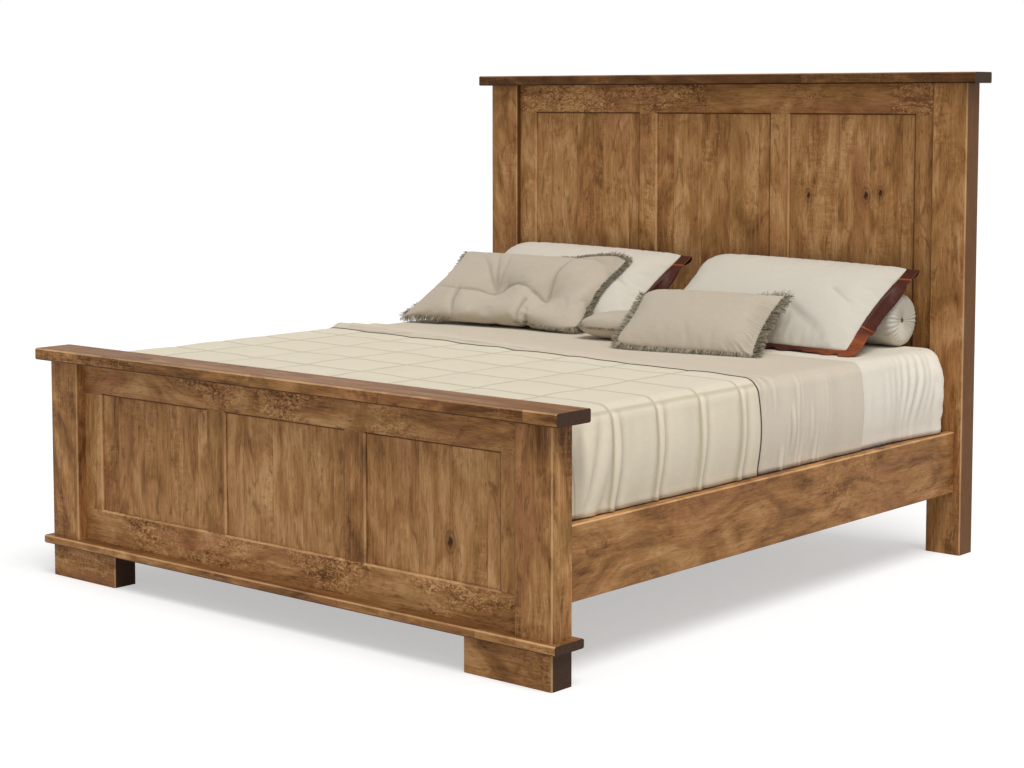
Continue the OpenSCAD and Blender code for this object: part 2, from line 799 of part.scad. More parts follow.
// Each step is [share of the half size, share of the trim]. Steps are close towards the seam.
function cushion_steps(n) = concat(
  [[-1, -1]], [for (i = [0:n]) [sin(180 * i / n - 90), 0]], [[1, 1]]);

// A point of a cushion's face, which is 1 in front and -1 behind
function cushion_point(c, a, b, face) =
  let(u = a[0], v = b[0], in = a[1] == 0 && b[1] == 0,
      x = size(c).x / 2 * u * (1 - draw_in(c) * u * u * (1 - v * v)),
      y = size(c).y / 2 * v * (1 - draw_in(c) * v * v * (1 - u * u)),
      swell = in ? crown(c, u, v) - tuft(c, x, y) : 0)
  [x + a[1] * trim_w(c), y + b[1] * trim_w(c), face * max(trim_t(c) / 2, swell)];

function to_bed(c, p) =
  let(t = tilt(c), w = turn(c), l = lean(c),
      x = p.x * cos(l) + p.y * sin(l),
      up = -p.x * sin(l) + p.y * cos(l),
      y = up * cos(t) - p.z * sin(t),
      z = up * sin(t) + p.z * cos(t))
  [x * cos(w) - y * sin(w), x * sin(w) + y * cos(w), z] + centre(c);

function to_cushion(c, q) =
  let(t = tilt(c), w = turn(c), l = lean(c), p = q - centre(c),
      x = p.x * cos(w) + p.y * sin(w),
      y = -p.x * sin(w) + p.y * cos(w),
      up = y * cos(t) + p.z * sin(t))
  [x * cos(l) - up * sin(l), x * sin(l) + up * cos(l), -y * sin(t) + p.z * cos(t)];

function off_roll(p) =
  let(d = [p.y - roll_at.y, p.z - roll_at.z], r = norm(d), clear = roll_r + facet_gap)
  abs(p.x - roll_at.x) > roll_l / 2 + roll_end || r >= clear ? p
    : [p.x, roll_at.y + d[0] * clear / r, roll_at.z + d[1] * clear / r];

function off_cushion(c, p) =
  let(q = to_cushion(c, p), half = size(c) / 2, reach = trim_w(c) + facet_gap,
      swell = crown(c, min(1, abs(q.x) / half.x), min(1, abs(q.y) / half.y)),
      clear = max(trim_t(c) / 2, swell) + facet_gap,
      beside = abs(q.x) >= half.x + reach || abs(q.y) >= half.y + reach)
  beside || q.z >= clear ? p : to_bed(c, [q.x, q.y, clear]);

function off_all(cushions, p, i = 0) =
  i < len(cushions) ? off_all(cushions, off_cushion(cushions[i], p), i + 1) : p;

// The two faces are grids of points, and a strip round the trim joins them
module cushion(c, n, lies_on, behind = [], on_roll = false) {
  steps = cushion_steps(n);
  m = len(steps);
  back = m * m;
  rest = lies_on + soft_gap;
  points = [
    for (face = [1, -1]) for (b = steps) for (a = steps)
      let(p = to_bed(c, cushion_point(c, a, b, face)),
          q = off_all(behind, on_roll ? off_roll(p) : p),
          lowest = face > 0 ? rest + trim_t(c) : rest)
      [q.x, q.y, max(q.z, lowest)]];
  cells = [for (j = [0:m - 2]) for (i = [0:m - 2]) j * m + i];
  rim = concat(
    [for (i = [0:m - 2]) i],
    [for (i = [0:m - 2]) i * m + m - 1],
    [for (i = [m - 1:-1:1]) (m - 1) * m + i],
    [for (i = [m - 1:-1:1]) i * m]);
  polyhedron(points = points, faces = concat(
    [for (k = cells) each [[k, k + m, k + 1], [k + 1, k + m, k + m + 1]]],
    [for (f = cells) let(k = f + back) each [[k, k + 1, k + m], [k + 1, k + m + 1, k + m]]],
    [for (i = [0:len(rim) - 1])
      let(k = rim[i], l = rim[(i + 1) % len(rim)])
      each [[k, l, k + back], [l, l + back, k + back]]]));
}

module sham_left() {
  color(white) cushion(left_sham, 11, fitted_top);
}

module sham_right() {
  color(white) cushion(right_sham, 11, fitted_top, on_roll = true);
}

module tufted_cushion() {
  color(greige) cushion(tufted, 16, sheet_top, [left_sham]);
}

module lumbar_cushion() {
  color(greige) cushion(lumbar, 11, sheet_top, [right_sham, small]);
}

module small_cushion() {
  color(greige) cushion(small, 8, sheet_top, [right_sham]);
}

// A stuffed roll whose ends are gathered to a button
module bolster() {
  h = roll_l / 2;
  r = roll_end;
  color(white) translate(roll_at) rotate([0, 90, 0]) rotate_extrude($fn = roll_fn)
    polygon(concat(
      [[0, -h + roll_button]], [for (a = [-80:20:0]) [roll_r - r + r * cos(a), -h + r + r * sin(a)]],
      [for (a = [0:20:80]) [roll_r - r + r * cos(a), h - r + r * sin(a)]], [[0, h - roll_button]]));
}

mirror([1, 0, 0]) headboard_post();  // headboard_post_left
headboard_post();  // headboard_post_right
headboard_cap();
headboard_top_rail();
headboard_bottom_rail();
mirror([1, 0, 0]) frame_stile(head);  // headboard_stile_left
frame_stile(head);  // headboard_stile_right
mirror([1, 0, 0]) frame_mullion(head);  // headboard_mullion_left
frame_mullion(head);  // headboard_mullion_right
frame_panel(head, 0);  // headboard_panel_left
frame_panel(head, 1);  // headboard_panel_centre
frame_panel(head, 2);  // headboard_panel_right
mirror([1, 0, 0]) footboard_post();  // footboard_post_left
footboard_post();  // footboard_post_right
footboard_cap();
footboard_top_rail();
footboard_bottom_rail();
mirror([1, 0, 0]) frame_stile(foot);  // footboard_stile_left
frame_stile(foot);  // footboard_stile_right
mirror([1, 0, 0]) frame_mullion(foot);  // footboard_mullion_left
frame_mullion(foot);  // footboard_mullion_right
frame_panel(foot, 0);  // footboard_panel_left
frame_panel(foot, 1);  // footboard_panel_centre
frame_panel(foot, 2);  // footboard_panel_right
base_board();
mirror([1, 0, 0]) foot_block();  // foot_block_left
foot_block();  // foot_block_right
mirror([1, 0, 0]) side_rail();  // side_rail_left
side_rail();  // side_rail_right
mirror([1, 0, 0]) cleat();  // cleat_left
cleat();  // cleat_right
rail_hook_plates();
post_slot_plates();
plate_screws();
deck_screws();
dowels();
slat(0);  // slat_01
slat(1);  // slat_02
slat(2);  // slat_03
slat(3);  // slat_04
slat(4);  // slat_05
slat(5);  // slat_06
slat(6);  // slat_07
slat(7);  // slat_08
slat(8);  // slat_09
slat(9);  // slat_10
centre_beam();
centre_legs();
foundation();
mattress();
fitted_sheet();
top_sheet();
quilt();
sham_left();
sham_right();
bolster();
tufted_cushion();
lumbar_cushion();
small_cushion();
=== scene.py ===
"""Dresses the panel bed: stained maple, made-up bedding, shams, a roll and fringed cushions."""

import math

import bpy
import numpy as np
from mathutils import Matrix, Vector


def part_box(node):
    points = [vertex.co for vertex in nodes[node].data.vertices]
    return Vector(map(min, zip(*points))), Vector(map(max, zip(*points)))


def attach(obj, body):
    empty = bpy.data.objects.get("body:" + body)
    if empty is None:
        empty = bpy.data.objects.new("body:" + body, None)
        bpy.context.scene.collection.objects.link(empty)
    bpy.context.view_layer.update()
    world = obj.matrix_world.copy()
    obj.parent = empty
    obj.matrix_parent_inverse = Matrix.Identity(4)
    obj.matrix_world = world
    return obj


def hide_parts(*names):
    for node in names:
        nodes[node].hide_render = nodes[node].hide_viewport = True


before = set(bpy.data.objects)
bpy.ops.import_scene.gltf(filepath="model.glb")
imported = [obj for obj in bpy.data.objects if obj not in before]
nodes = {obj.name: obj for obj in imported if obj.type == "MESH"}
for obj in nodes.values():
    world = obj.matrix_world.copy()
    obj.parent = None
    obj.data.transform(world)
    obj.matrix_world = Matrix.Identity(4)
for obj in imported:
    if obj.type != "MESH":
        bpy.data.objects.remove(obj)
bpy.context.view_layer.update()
MM = 0.001


# Colours, as the eye sees them, from 0 to 255
def rgb(red, green, blue):
    """A colour as Blender stores it, from its values on a screen."""
    def linear(value):
        share = value / 255
        return share / 12.92 if share <= 0.04045 else ((share + 0.055) / 1.055) ** 2.4
    return (linear(red), linear(green), linear(blue), 1.0)


MAPLE = dict(
    dark=rgb(98, 61, 30), middle=rgb(178, 127, 76), light=rgb(222, 174, 120),
    red=rgb(172, 114, 78), olive=rgb(164, 124, 70),
    end=rgb(70, 47, 32), arris=rgb(224, 182, 134), knot=rgb(58, 34, 18))
MAPLE_DARK = dict(
    dark=rgb(70, 42, 20), middle=rgb(110, 73, 40), light=rgb(156, 112, 68),
    red=rgb(108, 66, 42), olive=rgb(104, 76, 42),
    end=rgb(62, 44, 29), arris=rgb(170, 128, 86), knot=rgb(42, 26, 14))
PINE = dict(
    dark=rgb(184, 146, 98), middle=rgb(208, 174, 126), light=rgb(226, 198, 154),
    red=rgb(206, 162, 118), olive=rgb(206, 178, 120),
    end=rgb(176, 138, 92), arris=rgb(226, 200, 158), knot=rgb(120, 76, 40))
QUILT_CREAM = rgb(224, 214, 191)
# Lighter where the quilt hangs down the side: painted light, as the sides get less light
QUILT_SIDE_PAINTED_LIGHT = rgb(229, 217, 193)
QUILT_SEAM = rgb(160, 148, 116)
SHEET_GREIGE = rgb(207, 195, 175)
# Lighter where the top sheet hangs down the side: painted light, as the sides get less light
GREIGE_SIDE_PAINTED_LIGHT = rgb(220, 208, 188)
SHEET_WHITE = rgb(226, 217, 201)
# Lighter where the fitted sheet hangs down the side: painted light, as the sides get less light
WHITE_SIDE_PAINTED_LIGHT = rgb(238, 229, 213)
SHAM_WHITE = rgb(214, 207, 192)
CUSHION_GREIGE = rgb(192, 180, 161)
FRINGE_GREY = rgb(148, 136, 114)
# Painted highlight along the flange's creases
FLANGE_CREASE_HIGHLIGHT = rgb(160, 76, 32)
TICKING = rgb(226, 222, 212)
PIPING = rgb(92, 80, 62)


class Shade:
    """The nodes of one material, made by short calls."""

    def __init__(self, name, roughness, specular=0.5):
        self.material = bpy.data.materials.new(name)
        self.material.use_nodes = True
        self.tree = self.material.node_tree
        self.surface = self.tree.nodes["Principled BSDF"]
        self.surface.inputs["Roughness"].default_value = roughness
        self.surface.inputs["Specular IOR Level"].default_value = specular

    def node(self, kind, **settings):
        made = self.tree.nodes.new(kind)
        for key, value in settings.items():
            setattr(made, key, value)
        return made

    def put(self, value, socket):
        if isinstance(value, bpy.types.NodeSocket):
            self.tree.links.new(value, socket)
        else:
            socket.default_value = value

    def make(self, kind, *values, **settings):
        """A node with the values put in its first inputs. Gives its outputs."""
        made = self.node(kind, **settings)
        for value, socket in zip(values, made.inputs):
            self.put(value, socket)
        return made.outputs

    def math(self, operation, *values):
        return self.make("ShaderNodeMath", *values, operation=operation)[0]

    def times(self, a, b):
        return self.math("MULTIPLY", a, b)

    def larger(self, a, b):
        return self.math("MAXIMUM", a, b)

    def vector(self, operation, a, b=(0.0, 0.0, 0.0)):
        made = self.make("ShaderNodeVectorMath", a, b, operation=operation)
        return made["Value" if operation in ("LENGTH", "DOT_PRODUCT") else "Vector"]

    def split(self, vector):
        return list(self.make("ShaderNodeSeparateXYZ", vector))

    def join(self, x, y, z):
        return self.make("ShaderNodeCombineXYZ", x, y, z)[0]

    def step(self, value, low, high, to_low=0.0, to_high=1.0):
        """Runs smoothly from to_low to to_high as the value goes from low to high."""
        ends = (low, high, to_low, to_high)
        return self.make("ShaderNodeMapRange", value, *ends, interpolation_type="SMOOTHSTEP")[0]

    def mix(self, share, a, b, blend="MIX"):
        made = self.node("ShaderNodeMix", data_type="RGBA", blend_type=blend)
        for value, place in ((share, 0), (a, 6), (b, 7)):
            self.put(value, made.inputs[place])
        return made.outputs[2]

    def ramp(self, value, stops):
        made = self.node("ShaderNodeValToRGB")
        colours = made.color_ramp.elements
        while len(colours) < len(stops):
            colours.new(0.5)
        for element, (place, colour) in zip(colours, stops):
            element.position = place
            element.color = colour
        self.put(value, made.inputs[0])
        return made.outputs[0]

    def noise(self, place, scale=1.0, detail=2.0, roughness=0.5, distortion=0.0):
        """Cloudy noise about 0, mostly from -0.5 to 0.5. The scale may differ along each axis."""
        if not isinstance(scale, (int, float)):
            place = self.vector("MULTIPLY", place, scale)
            scale = 1.0
        made = self.node("ShaderNodeTexNoise")
        inputs = dict(
            Vector=place, Scale=scale, Detail=detail, Roughness=roughness, Distortion=distortion)
        for name, value in inputs.items():
            self.put(value, made.inputs[name])
        return self.math("MULTIPLY_ADD", made.outputs["Fac"], 2.0, -1.0)

    def random(self, value):
        made = self.node("ShaderNodeTexWhiteNoise", noise_dimensions="1D")
        self.put(value, made.inputs["W"])
        return made.outputs["Value"], made.outputs["Color"]

    def place(self):
        return self.node("ShaderNodeTexCoord").outputs["Object"]

    def normal(self):
        return self.node("ShaderNodeTexCoord").outputs["Normal"]

    def read(self, name, output="Fac"):
        return self.node("ShaderNodeAttribute", attribute_name=name).outputs[output]

    def total(self, *terms):
        """The sum of terms, each a value or a (value, factor) pair."""
        so_far = 0.0
        for term in terms:
            value, factor = term if isinstance(term, tuple) else (term, 1.0)
            so_far = self.math("MULTIPLY_ADD", value, factor, so_far)
        return so_far

    def pieces(self, value, first, width, shift=0.0):
        """Pieces of one width, laid side by side from first on: the count up to a place, and how
        far the nearest joint is from it. Shift moves them all by a share of the width."""
        count = self.math("DIVIDE", self.math("SUBTRACT", value, first), width)
        count = self.total(count, shift)
        return count, self.times(self.math("PINGPONG", count, 0.5), width)

    def bump(self, height, depth):
        made = self.node("ShaderNodeBump")
        made.inputs["Strength"].default_value = 1.0
        made.inputs["Distance"].default_value = depth
        self.put(height, made.inputs["Height"])
        self.put(made.outputs[0], self.surface.inputs["Normal"])

    def colour(self, colour):
        self.put(colour, self.surface.inputs["Base Color"])


# Wood
BOARD_LINE = 0.9 * MM

# What each further length adds to a board's number, so that no two pieces share theirs
NEXT_LENGTH = 7.31


def glue_lines(shade, axes, grain, seed, boards, lengths):
    """The number of the board at each place, and how near it is to a glued joint."""
    line = 0.0
    board = float(seed)
    if boards:
        axis, first, width = boards
        count, edge = shade.pieces(axes[axis], first, width)
        board = shade.total(shade.math("FLOOR", count), board)
        line = shade.step(edge, BOARD_LINE * 0.4, BOARD_LINE, 1.0, 0.0)
    if lengths:
        first, length = lengths
        shift = shade.times(shade.random(board)[0], 0.5)
        count, end = shade.pieces(axes[grain], first, length, shift)
        board = shade.total((shade.math("FLOOR", count), NEXT_LENGTH), board)
        line = shade.larger(line, shade.step(end, BOARD_LINE, BOARD_LINE * 2, 1.0, 0.0))
    return board, line


def wood(name, palette, grain, seed, boards=None, lengths=None, burl=0.0, knots=(),
         tone=0.0, variety=0.24, face_shade=(0, 0, 0), corner=None):
    """Stained wood with its grain along the axis numbered grain. Boards glued side by side are
    (axis, first edge, width), and lengths glued end to end are (first end, length). Knots are
    (x, z, radius), on faces seen from the front. Tone makes it lighter or darker, and variety is
    how much the boards differ. The next argument gives, for each axis, how far painted shade
    darkens the faces that look along it, and corner is the x of the next piece, beside which a
    painted shade darkens the edge."""
    shade = Shade(name, roughness=0.5, specular=0.12)
    place = shade.place()
    axes = shade.split(place)
    across = [axes[i] for i in range(3) if i != grain]
    board, line = glue_lines(shade, axes, grain, seed, boards, lengths)
    board_tone, scatter = shade.random(board)
    spot = shade.join(axes[grain], *across)
    spot = shade.vector("ADD", spot, shade.vector("MULTIPLY", scatter, (9.0, 9.0, 9.0)))

    cloud = shade.noise(spot, (3.4, 8.0, 8.0), 5.0, 0.6, 1.6)
    streak = shade.noise(spot, (2.4, 46.0, 46.0), 4.0, 0.6, 1.0)
    fibre = shade.noise(spot, (20.0, 330.0, 330.0), 3.0, 0.65)
    fleck = shade.noise(spot, (42.0, 240.0, 240.0), 2.0, 0.6)
    pool = shade.noise(spot, (5.5, 19.0, 19.0), 4.0, 0.6, 2.2)
    curl = shade.noise(spot, (58.0, 12.0, 12.0), 2.0, 0.5, 1.5)
    swirl = shade.noise(spot, (34.0, 62.0, 62.0), 3.0, 0.58, 2.5)
    hue = shade.noise(spot, (2.0, 8.0, 8.0), 3.0, 0.6, 1.0)
    spread = -0.05 - 0.3 * max(burl - 0.5, 0)
    patch = shade.step(shade.noise(spot, (3.0, 7.0, 7.0), 2.0), spread, spread + 0.35)
    value = shade.total(
        0.5 + tone, (cloud, 0.66), (streak, 0.26), (fibre, 0.3), (shade.times(curl, patch), 0.22),
        (shade.times(swirl, patch), burl), -0.5 * variety, (board_tone, variety))
    colour = shade.ramp(value, [
        (0.14, palette["dark"]), (0.5, palette["middle"]), (0.86, palette["light"])])
    colour = shade.mix(shade.step(hue, 0.0, 0.4, 0.0, 0.45), colour, palette["red"])
    colour = shade.mix(shade.step(hue, -0.4, -0.05, 0.4, 0.0), colour, palette["olive"])
    deep = shade.step(pool, 0.1, 0.4, 0.0, 0.55)
    fine = shade.step(fleck, 0.16, 0.45, 0.0, 0.5)
    colour = shade.mix(shade.larger(deep, fine), colour, palette["dark"])
    spark = shade.times(shade.step(swirl, 0.12, 0.4), patch)
    colour = shade.mix(shade.times(spark, burl * 0.7), colour, palette["light"])
    for x, z, radius in knots:
        colour = knot(shade, axes, colour, palette, x, z, radius)
    colour = shade.mix(shade.times(line, 0.35), colour, palette["knot"])
    # Painted shade: a dark band along the panel's edge beside the next piece, in its recess
    if corner:
        near = shade.step(axes[0], corner - 9 * MM, corner - 2 * MM, 0.0, 0.75)
        colour = shade.mix(near, colour, palette["knot"])
    shade.colour(by_face(shade, colour, palette, grain, face_shade, cloud))
    shade.bump(shade.total((streak, 0.5), (fibre, 0.5), (line, -2.0)), 0.3 * MM)
    return shade.material


def by_face(shade, colour, palette, grain, face_shade, cloud):
    """Changes the colour: painted shade on the faces that look along chosen axes, end grain, and
    a painted highlight on bevels that face the key light, with painted shade on those facing away.
    """
    facing = shade.split(shade.vector("ABSOLUTE", shade.normal()))
    # Painted shade: faces that look along an axis are darkened by the share given for it
    for axis, dark in enumerate(face_shade):
        if dark:
            colour = shade.mix(shade.step(facing[axis], 0.6, 0.9, 0.0, dark), colour, palette["dark"])
    end_grain = shade.step(facing[grain], 0.75, 0.95)
    rings = shade.step(shade.noise(shade.place(), (260.0, 260.0, 260.0), 3.0), -0.3, 0.5, 0.75, 1.25)
    end_colour = shade.mix(1.0, palette["end"], shade.join(rings, rings, rings), "MULTIPLY")
    colour = shade.mix(end_grain, colour, end_colour)
    # Bevels: a pale painted highlight, in patches, on those that face the key light up and to the
    # right, and painted shade on those that face away
    flat = shade.larger(shade.larger(facing[0], facing[1]), facing[2])
    slope = shade.step(flat, 0.8, 0.95, 1.0, 0.0)
    toward_key_light = shade.vector("DOT_PRODUCT", shade.normal(), (0.75, 0.0, 0.65))
    lit_bevel_highlight = shade.times(slope, shade.step(toward_key_light, 0.1, 0.5, 0.0, 0.62))
    shaded_bevel = shade.times(slope, shade.step(toward_key_light, -0.5, -0.1, 0.85, 0.0))
    patchy = shade.step(cloud, -0.35, 0.2, 0.45, 1.0)
    colour = shade.mix(shade.times(lit_bevel_highlight, patchy), colour, palette["arris"])
    return shade.mix(shaded_bevel, colour, palette["knot"])


def knot(shade, axes, colour, palette, x, z, radius):
    """A small dark knot with the grain running round it."""
    dx = shade.math("DIVIDE", shade.math("SUBTRACT", axes[0], x), radius)
    dz = shade.math("DIVIDE", shade.math("SUBTRACT", axes[2], z), radius * 1.7)
    waver = shade.noise(shade.join(dx, dz, 0.0), 1.4, 2.0)
    far = shade.total(shade.vector("LENGTH", shade.join(dx, dz, 0.0)), (waver, 0.6))
    ring = shade.math("SINE", shade.times(far, 6.0))
    halo = shade.times(shade.step(far, 0.8, 3.2, 1.0, 0.0), shade.step(ring, -0.5, 1.0, 0.2, 0.6))
    colour = shade.mix(halo, colour, palette["dark"])
    return shade.mix(shade.step(far, 0.35, 1.1, 0.95, 0.0), colour, palette["knot"])


def dress(node, material):
    slots = nodes[node].data.materials
    slots.clear()
    slots.append(material)


def longest_axis(node):
    low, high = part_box(node)
    sizes = [high[i] - low[i] for i in range(3)]
    return sizes.index(max(sizes))


BOARD_W = 126 * MM
STRIP_W = 47 * MM
CAP_LENGTH = 520 * MM
KNOTS = {
    "headboard_panel_right": [(0.412, 1.197, 0.010), (0.645, 1.203, 0.012), (0.703, 1.214, 0.010)],
    "footboard_panel_right": [(0.652, 0.335, 0.013)],
}
# Tones of the top rails: the headboard's is darker as painted shade under its cap, the footboard's
# lighter
RAIL_TONES_AND_SHADE = {"headboard_top_rail": -0.15, "footboard_top_rail": 0.07}
NEXT_PIECE = {"left": "mullion_left", "centre": "mullion_right", "right": "stile_right"}


def dress_wood():
    softwood = ("slat", "cleat", "centre", "dowels")
    frames = ("headboard", "footboard", "foot_block", "side_rail")
    seed = 0
    for node in sorted(nodes):
        seed += 17
        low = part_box(node)[0]
        if node.startswith(softwood):
            made = wood("pine_" + node, PINE, longest_axis(node), seed)
        elif "cap" in node or node == "base_board":
            palette, tone = (MAPLE_DARK, -0.12) if node == "headboard_cap" else (MAPLE, -0.06)
            # The caps' tops are darkened by painted shade
            made = wood(
                "maple_" + node, palette, 0, seed, boards=(1, low.y - STRIP_W / 2, STRIP_W),
                lengths=(low.x, CAP_LENGTH), burl=0.35, tone=tone, face_shade=(0, 0, 0.62))
        elif "panel" in node:
            # A panel's corner gives a painted shade along its edge beside the next piece
            board, place = node.split("_panel_")
            made = wood(
                "maple_" + node, MAPLE, 2, seed, boards=(0, low.x - BOARD_W * 0.35, BOARD_W),
                burl=0.2, knots=KNOTS.get(node, ()), tone=0.05, variety=0.14,
                corner=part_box(board + "_" + NEXT_PIECE[place])[0].x)
        elif "_post_" in node:
            # Painted shade darkens the sides of the headboard's posts
            sides = 0.88 if node.startswith("headboard") else 0
            made = wood("maple_" + node, MAPLE, 2, seed, burl=0.25, tone=-0.03, face_shade=(sides, 0, 0))
        elif node.startswith(frames):
            burl = 1.0 if node.endswith(("board_top_rail", "board_bottom_rail")) else 0.4
            tone = RAIL_TONES_AND_SHADE.get(node, -0.05 if "rail" in node else 0.0)
            # Painted shade darkens the side rails' faces that look along X
            sides = 0.2 if node.startswith("side_rail") else 0
            made = wood(
                "maple_" + node, MAPLE, longest_axis(node), seed, burl=burl, tone=tone,
                face_shade=(sides, 0, 0))
        else:
            continue
        dress(node, made)


def dress_steel():
    shade = Shade("steel", roughness=0.38)
    shade.surface.inputs["Metallic"].default_value = 1.0
    brushed = shade.noise(shade.place(), (900.0, 900.0, 40.0), 3.0)
    spots = shade.noise(shade.place(), 90.0, 3.0)
    tone = shade.total(0.5, (brushed, 0.2), (spots, 0.3))
    shade.colour(shade.ramp(tone, [(0.2, rgb(120, 120, 124)), (0.8, rgb(196, 196, 198))]))
    shade.bump(brushed, 0.1 * MM)
    for node in ("rail_hook_plates", "post_slot_plates", "plate_screws", "deck_screws"):
        dress(node, shade.material)


# Cloth
# How much the painted shade in a cloth's folds darkens it
PAINTED_FOLD_SHADE = 0.26


def cloth(name, colour, thread=1.1 * MM, mottle=0.05, side_painted_light=None, marks=None):
    """Woven cloth. Threads cross in every plane, so the weave needs no unwrapping. Where it hangs
    down the side of the bed it may take a second, lighter colour: painted light for the light the
    sides miss. Marks draws what is sewn on the cloth over its colour. Where a piece has a fold, it
    is darker there by a painted shade, and a little lighter on a ridge."""
    shade = Shade(name, roughness=0.85, specular=0.25)
    shade.surface.inputs["Sheen Weight"].default_value = 0.15
    shade.surface.inputs["Sheen Roughness"].default_value = 0.45
    place = shade.place()

    def threads(fine, long):
        """Noise that is fine along one axis and drawn out along the others, for each in turn."""
        scales = [[fine if i == axis else long for i in range(3)] for axis in range(3)]
        return shade.total(*[shade.noise(place, scale, 2.0) for scale in scales])

    fine = 1 / thread
    long = fine / 14
    weave = threads(fine, long)
    slubs = threads(fine / 4, long / 3)
    blot = shade.noise(place, 5.0, 3.0)
    # Painted shade in folds, and a little painted light on ridges, from each point's fold depth
    tone = shade.total(
        1.0, (weave, mottle * 0.8), (slubs, mottle * 0.5), (blot, mottle),
        (shade.read("fold_shade"), -PAINTED_FOLD_SHADE))
    # Painted light: the part that hangs down the side takes a lighter colour
    if side_painted_light:
        s = shade.split(shade.read("on_cloth", "Vector"))[2]
        colour = shade.mix(shade.step(s, FLAT + ROUND * 0.3, FLAT + ROUND), colour, side_painted_light)
    made = shade.mix(1.0, colour, shade.join(tone, tone, tone), "MULTIPLY")
    if marks:
        made = marks(shade, made)
    shade.colour(made)
    shade.bump(weave, 0.25 * MM)
    return shade.material


def plain_noise(x, y, seed):
    """Smooth noise from -1 to 1 at points of a plane, one bump for each unit of length."""
    table = np.random.default_rng(seed).uniform(-1, 1, (64, 64))
    x0 = np.floor(x).astype(int)
    y0 = np.floor(y).astype(int)
    fx = x - x0
    fy = y - y0
    fx = fx * fx * (3 - 2 * fx)
    fy = fy * fy * (3 - 2 * fy)
    near = table[x0 % 64, y0 % 64] * (1 - fx) + table[(x0 + 1) % 64, y0 % 64] * fx
    far = table[x0 % 64, (y0 + 1) % 64] * (1 - fx) + table[(x0 + 1) % 64, (y0 + 1) % 64] * fx
    return near * (1 - fy) + far * fy


def new_object(name, data):
    made = bpy.data.objects.new(name, data)
    bpy.context.scene.collection.objects.link(made)
    return made


def new_piece(name, points, faces, material):
    mesh = bpy.data.meshes.new(name)
    faces = [tuple(int(i) for i in face) for face in faces]
    mesh.from_pydata([tuple(p) for p in points], [], faces)
    mesh.validate()
    mesh.update()
    mesh.shade_smooth()
    piece = new_object(name, mesh)
    mesh.materials.append(material)
    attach(piece, "root")
    return piece


def rise(value, start, over):
    """Runs evenly from 0 at the start to 1 once the value is over further on."""
    return np.clip((value - start) / over, 0, 1)


def bell(value, centre, width):
    """1 at the centre, fading smoothly to both sides over the width."""
    return np.exp(-((value - centre) / width) ** 2)


def ring_faces(rows, count, first=0, closed=True, flip=False):
    """Faces between rows of count points each, from one row to the next."""
    faces = []
    for row in range(rows - 1):
        for k in range(count if closed else count - 1):
            a = first + row * count + k
            b = first + row * count + (k + 1) % count
            face = (a, a + count, b + count, b)
            faces.append(face[::-1] if flip else face)
    return faces


def set_vector(piece, name, values):
    made = piece.data.attributes.new(name, "FLOAT_VECTOR", "POINT")
    made.data.foreach_set("vector", np.asarray(values, np.float32).ravel())


def set_value(piece, name, values):
    made = piece.data.attributes.new(name, "FLOAT", "POINT")
    made.data.foreach_set("value", np.asarray(values, np.float32).ravel())


def read_points(piece):
    return np.array([p.co for p in piece.data.vertices])


def write_points(piece, points):
    piece.data.vertices.foreach_set("co", points.astype(np.float32).ravel())


def apply_modifiers(piece):
    bpy.context.view_layer.update()
    graph = bpy.context.evaluated_depsgraph_get()
    mesh = bpy.data.meshes.new_from_object(piece.evaluated_get(graph))
    piece.modifiers.clear()
    piece.data = mesh


def thicken(piece, thickness, offset=1.0):
    """Gives a cloth its thickness: outwards, or to both sides with an offset of 0."""
    made = piece.modifiers.new("thickness", "SOLIDIFY")
    made.thickness = thickness
    made.offset = offset
    apply_modifiers(piece)


# The mattress's form, which all that covers it follows
mattress_low, mattress_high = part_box("mattress")
CORNER = 100 * MM
HEAD_CORNER = 60 * MM
EDGE = 38 * MM
SWELL = 9 * MM
HEM_Z = 423.5 * MM
HALF_X = mattress_high.x - SWELL
INNER_X = HALF_X - CORNER
INNER_FOOT = mattress_low.y + SWELL + CORNER
INNER_HEAD = mattress_high.y - SWELL - CORNER
TOP = mattress_high.z
SIDE_H = mattress_high.z - mattress_low.z - 2 * EDGE
FLAT = CORNER - EDGE
ROUND = EDGE * math.pi / 2


def profile(s, d):
    """Where the cloth is at the length s outwards from the inner rectangle, lying d outside the
    mattress: the distance out, the height, and the direction in which its face looks. The
    mattress itself, for which d is 0, is round below, and a cloth hangs straight down there."""
    r = EDGE + d
    turn = np.clip((s - FLAT) / ROUND, 0, 1) * math.pi / 2
    past = np.clip(s - FLAT - ROUND, 0, None)
    fall = past if d else np.clip(past, 0, SIDE_H)
    under = np.zeros_like(s) if d else np.clip((past - SIDE_H) / EDGE, 0, math.pi / 2)
    swell = SWELL * np.sin(math.pi * np.clip(fall / SIDE_H, 0, 1))
    out = np.clip(s, 0, FLAT) + r * np.sin(turn) - r * (1 - np.cos(under)) + swell
    z = TOP + d - r * (1 - np.cos(turn)) - fall - r * np.sin(under)
    look = turn + under
    return out, z, np.sin(look), np.cos(look)


HEM = FLAT + ROUND + TOP - EDGE - HEM_Z

# The mesh of a cloth: its rows beyond the inner rectangle on the flat part and round the edge,
# how much closer its rows are on the sides than its columns on top, and the degrees between its
# columns round a corner. Then the depth of a deep fold, and how far out in the cloth's thickness
# the line of its edge runs.
FLAT_ROWS = 6
ROUND_ROWS = 9
HANGING_FINER = 1.6
CORNER_TURN = 9
DEEP_FOLD = 3 * MM
EDGE_LINE = 0.85


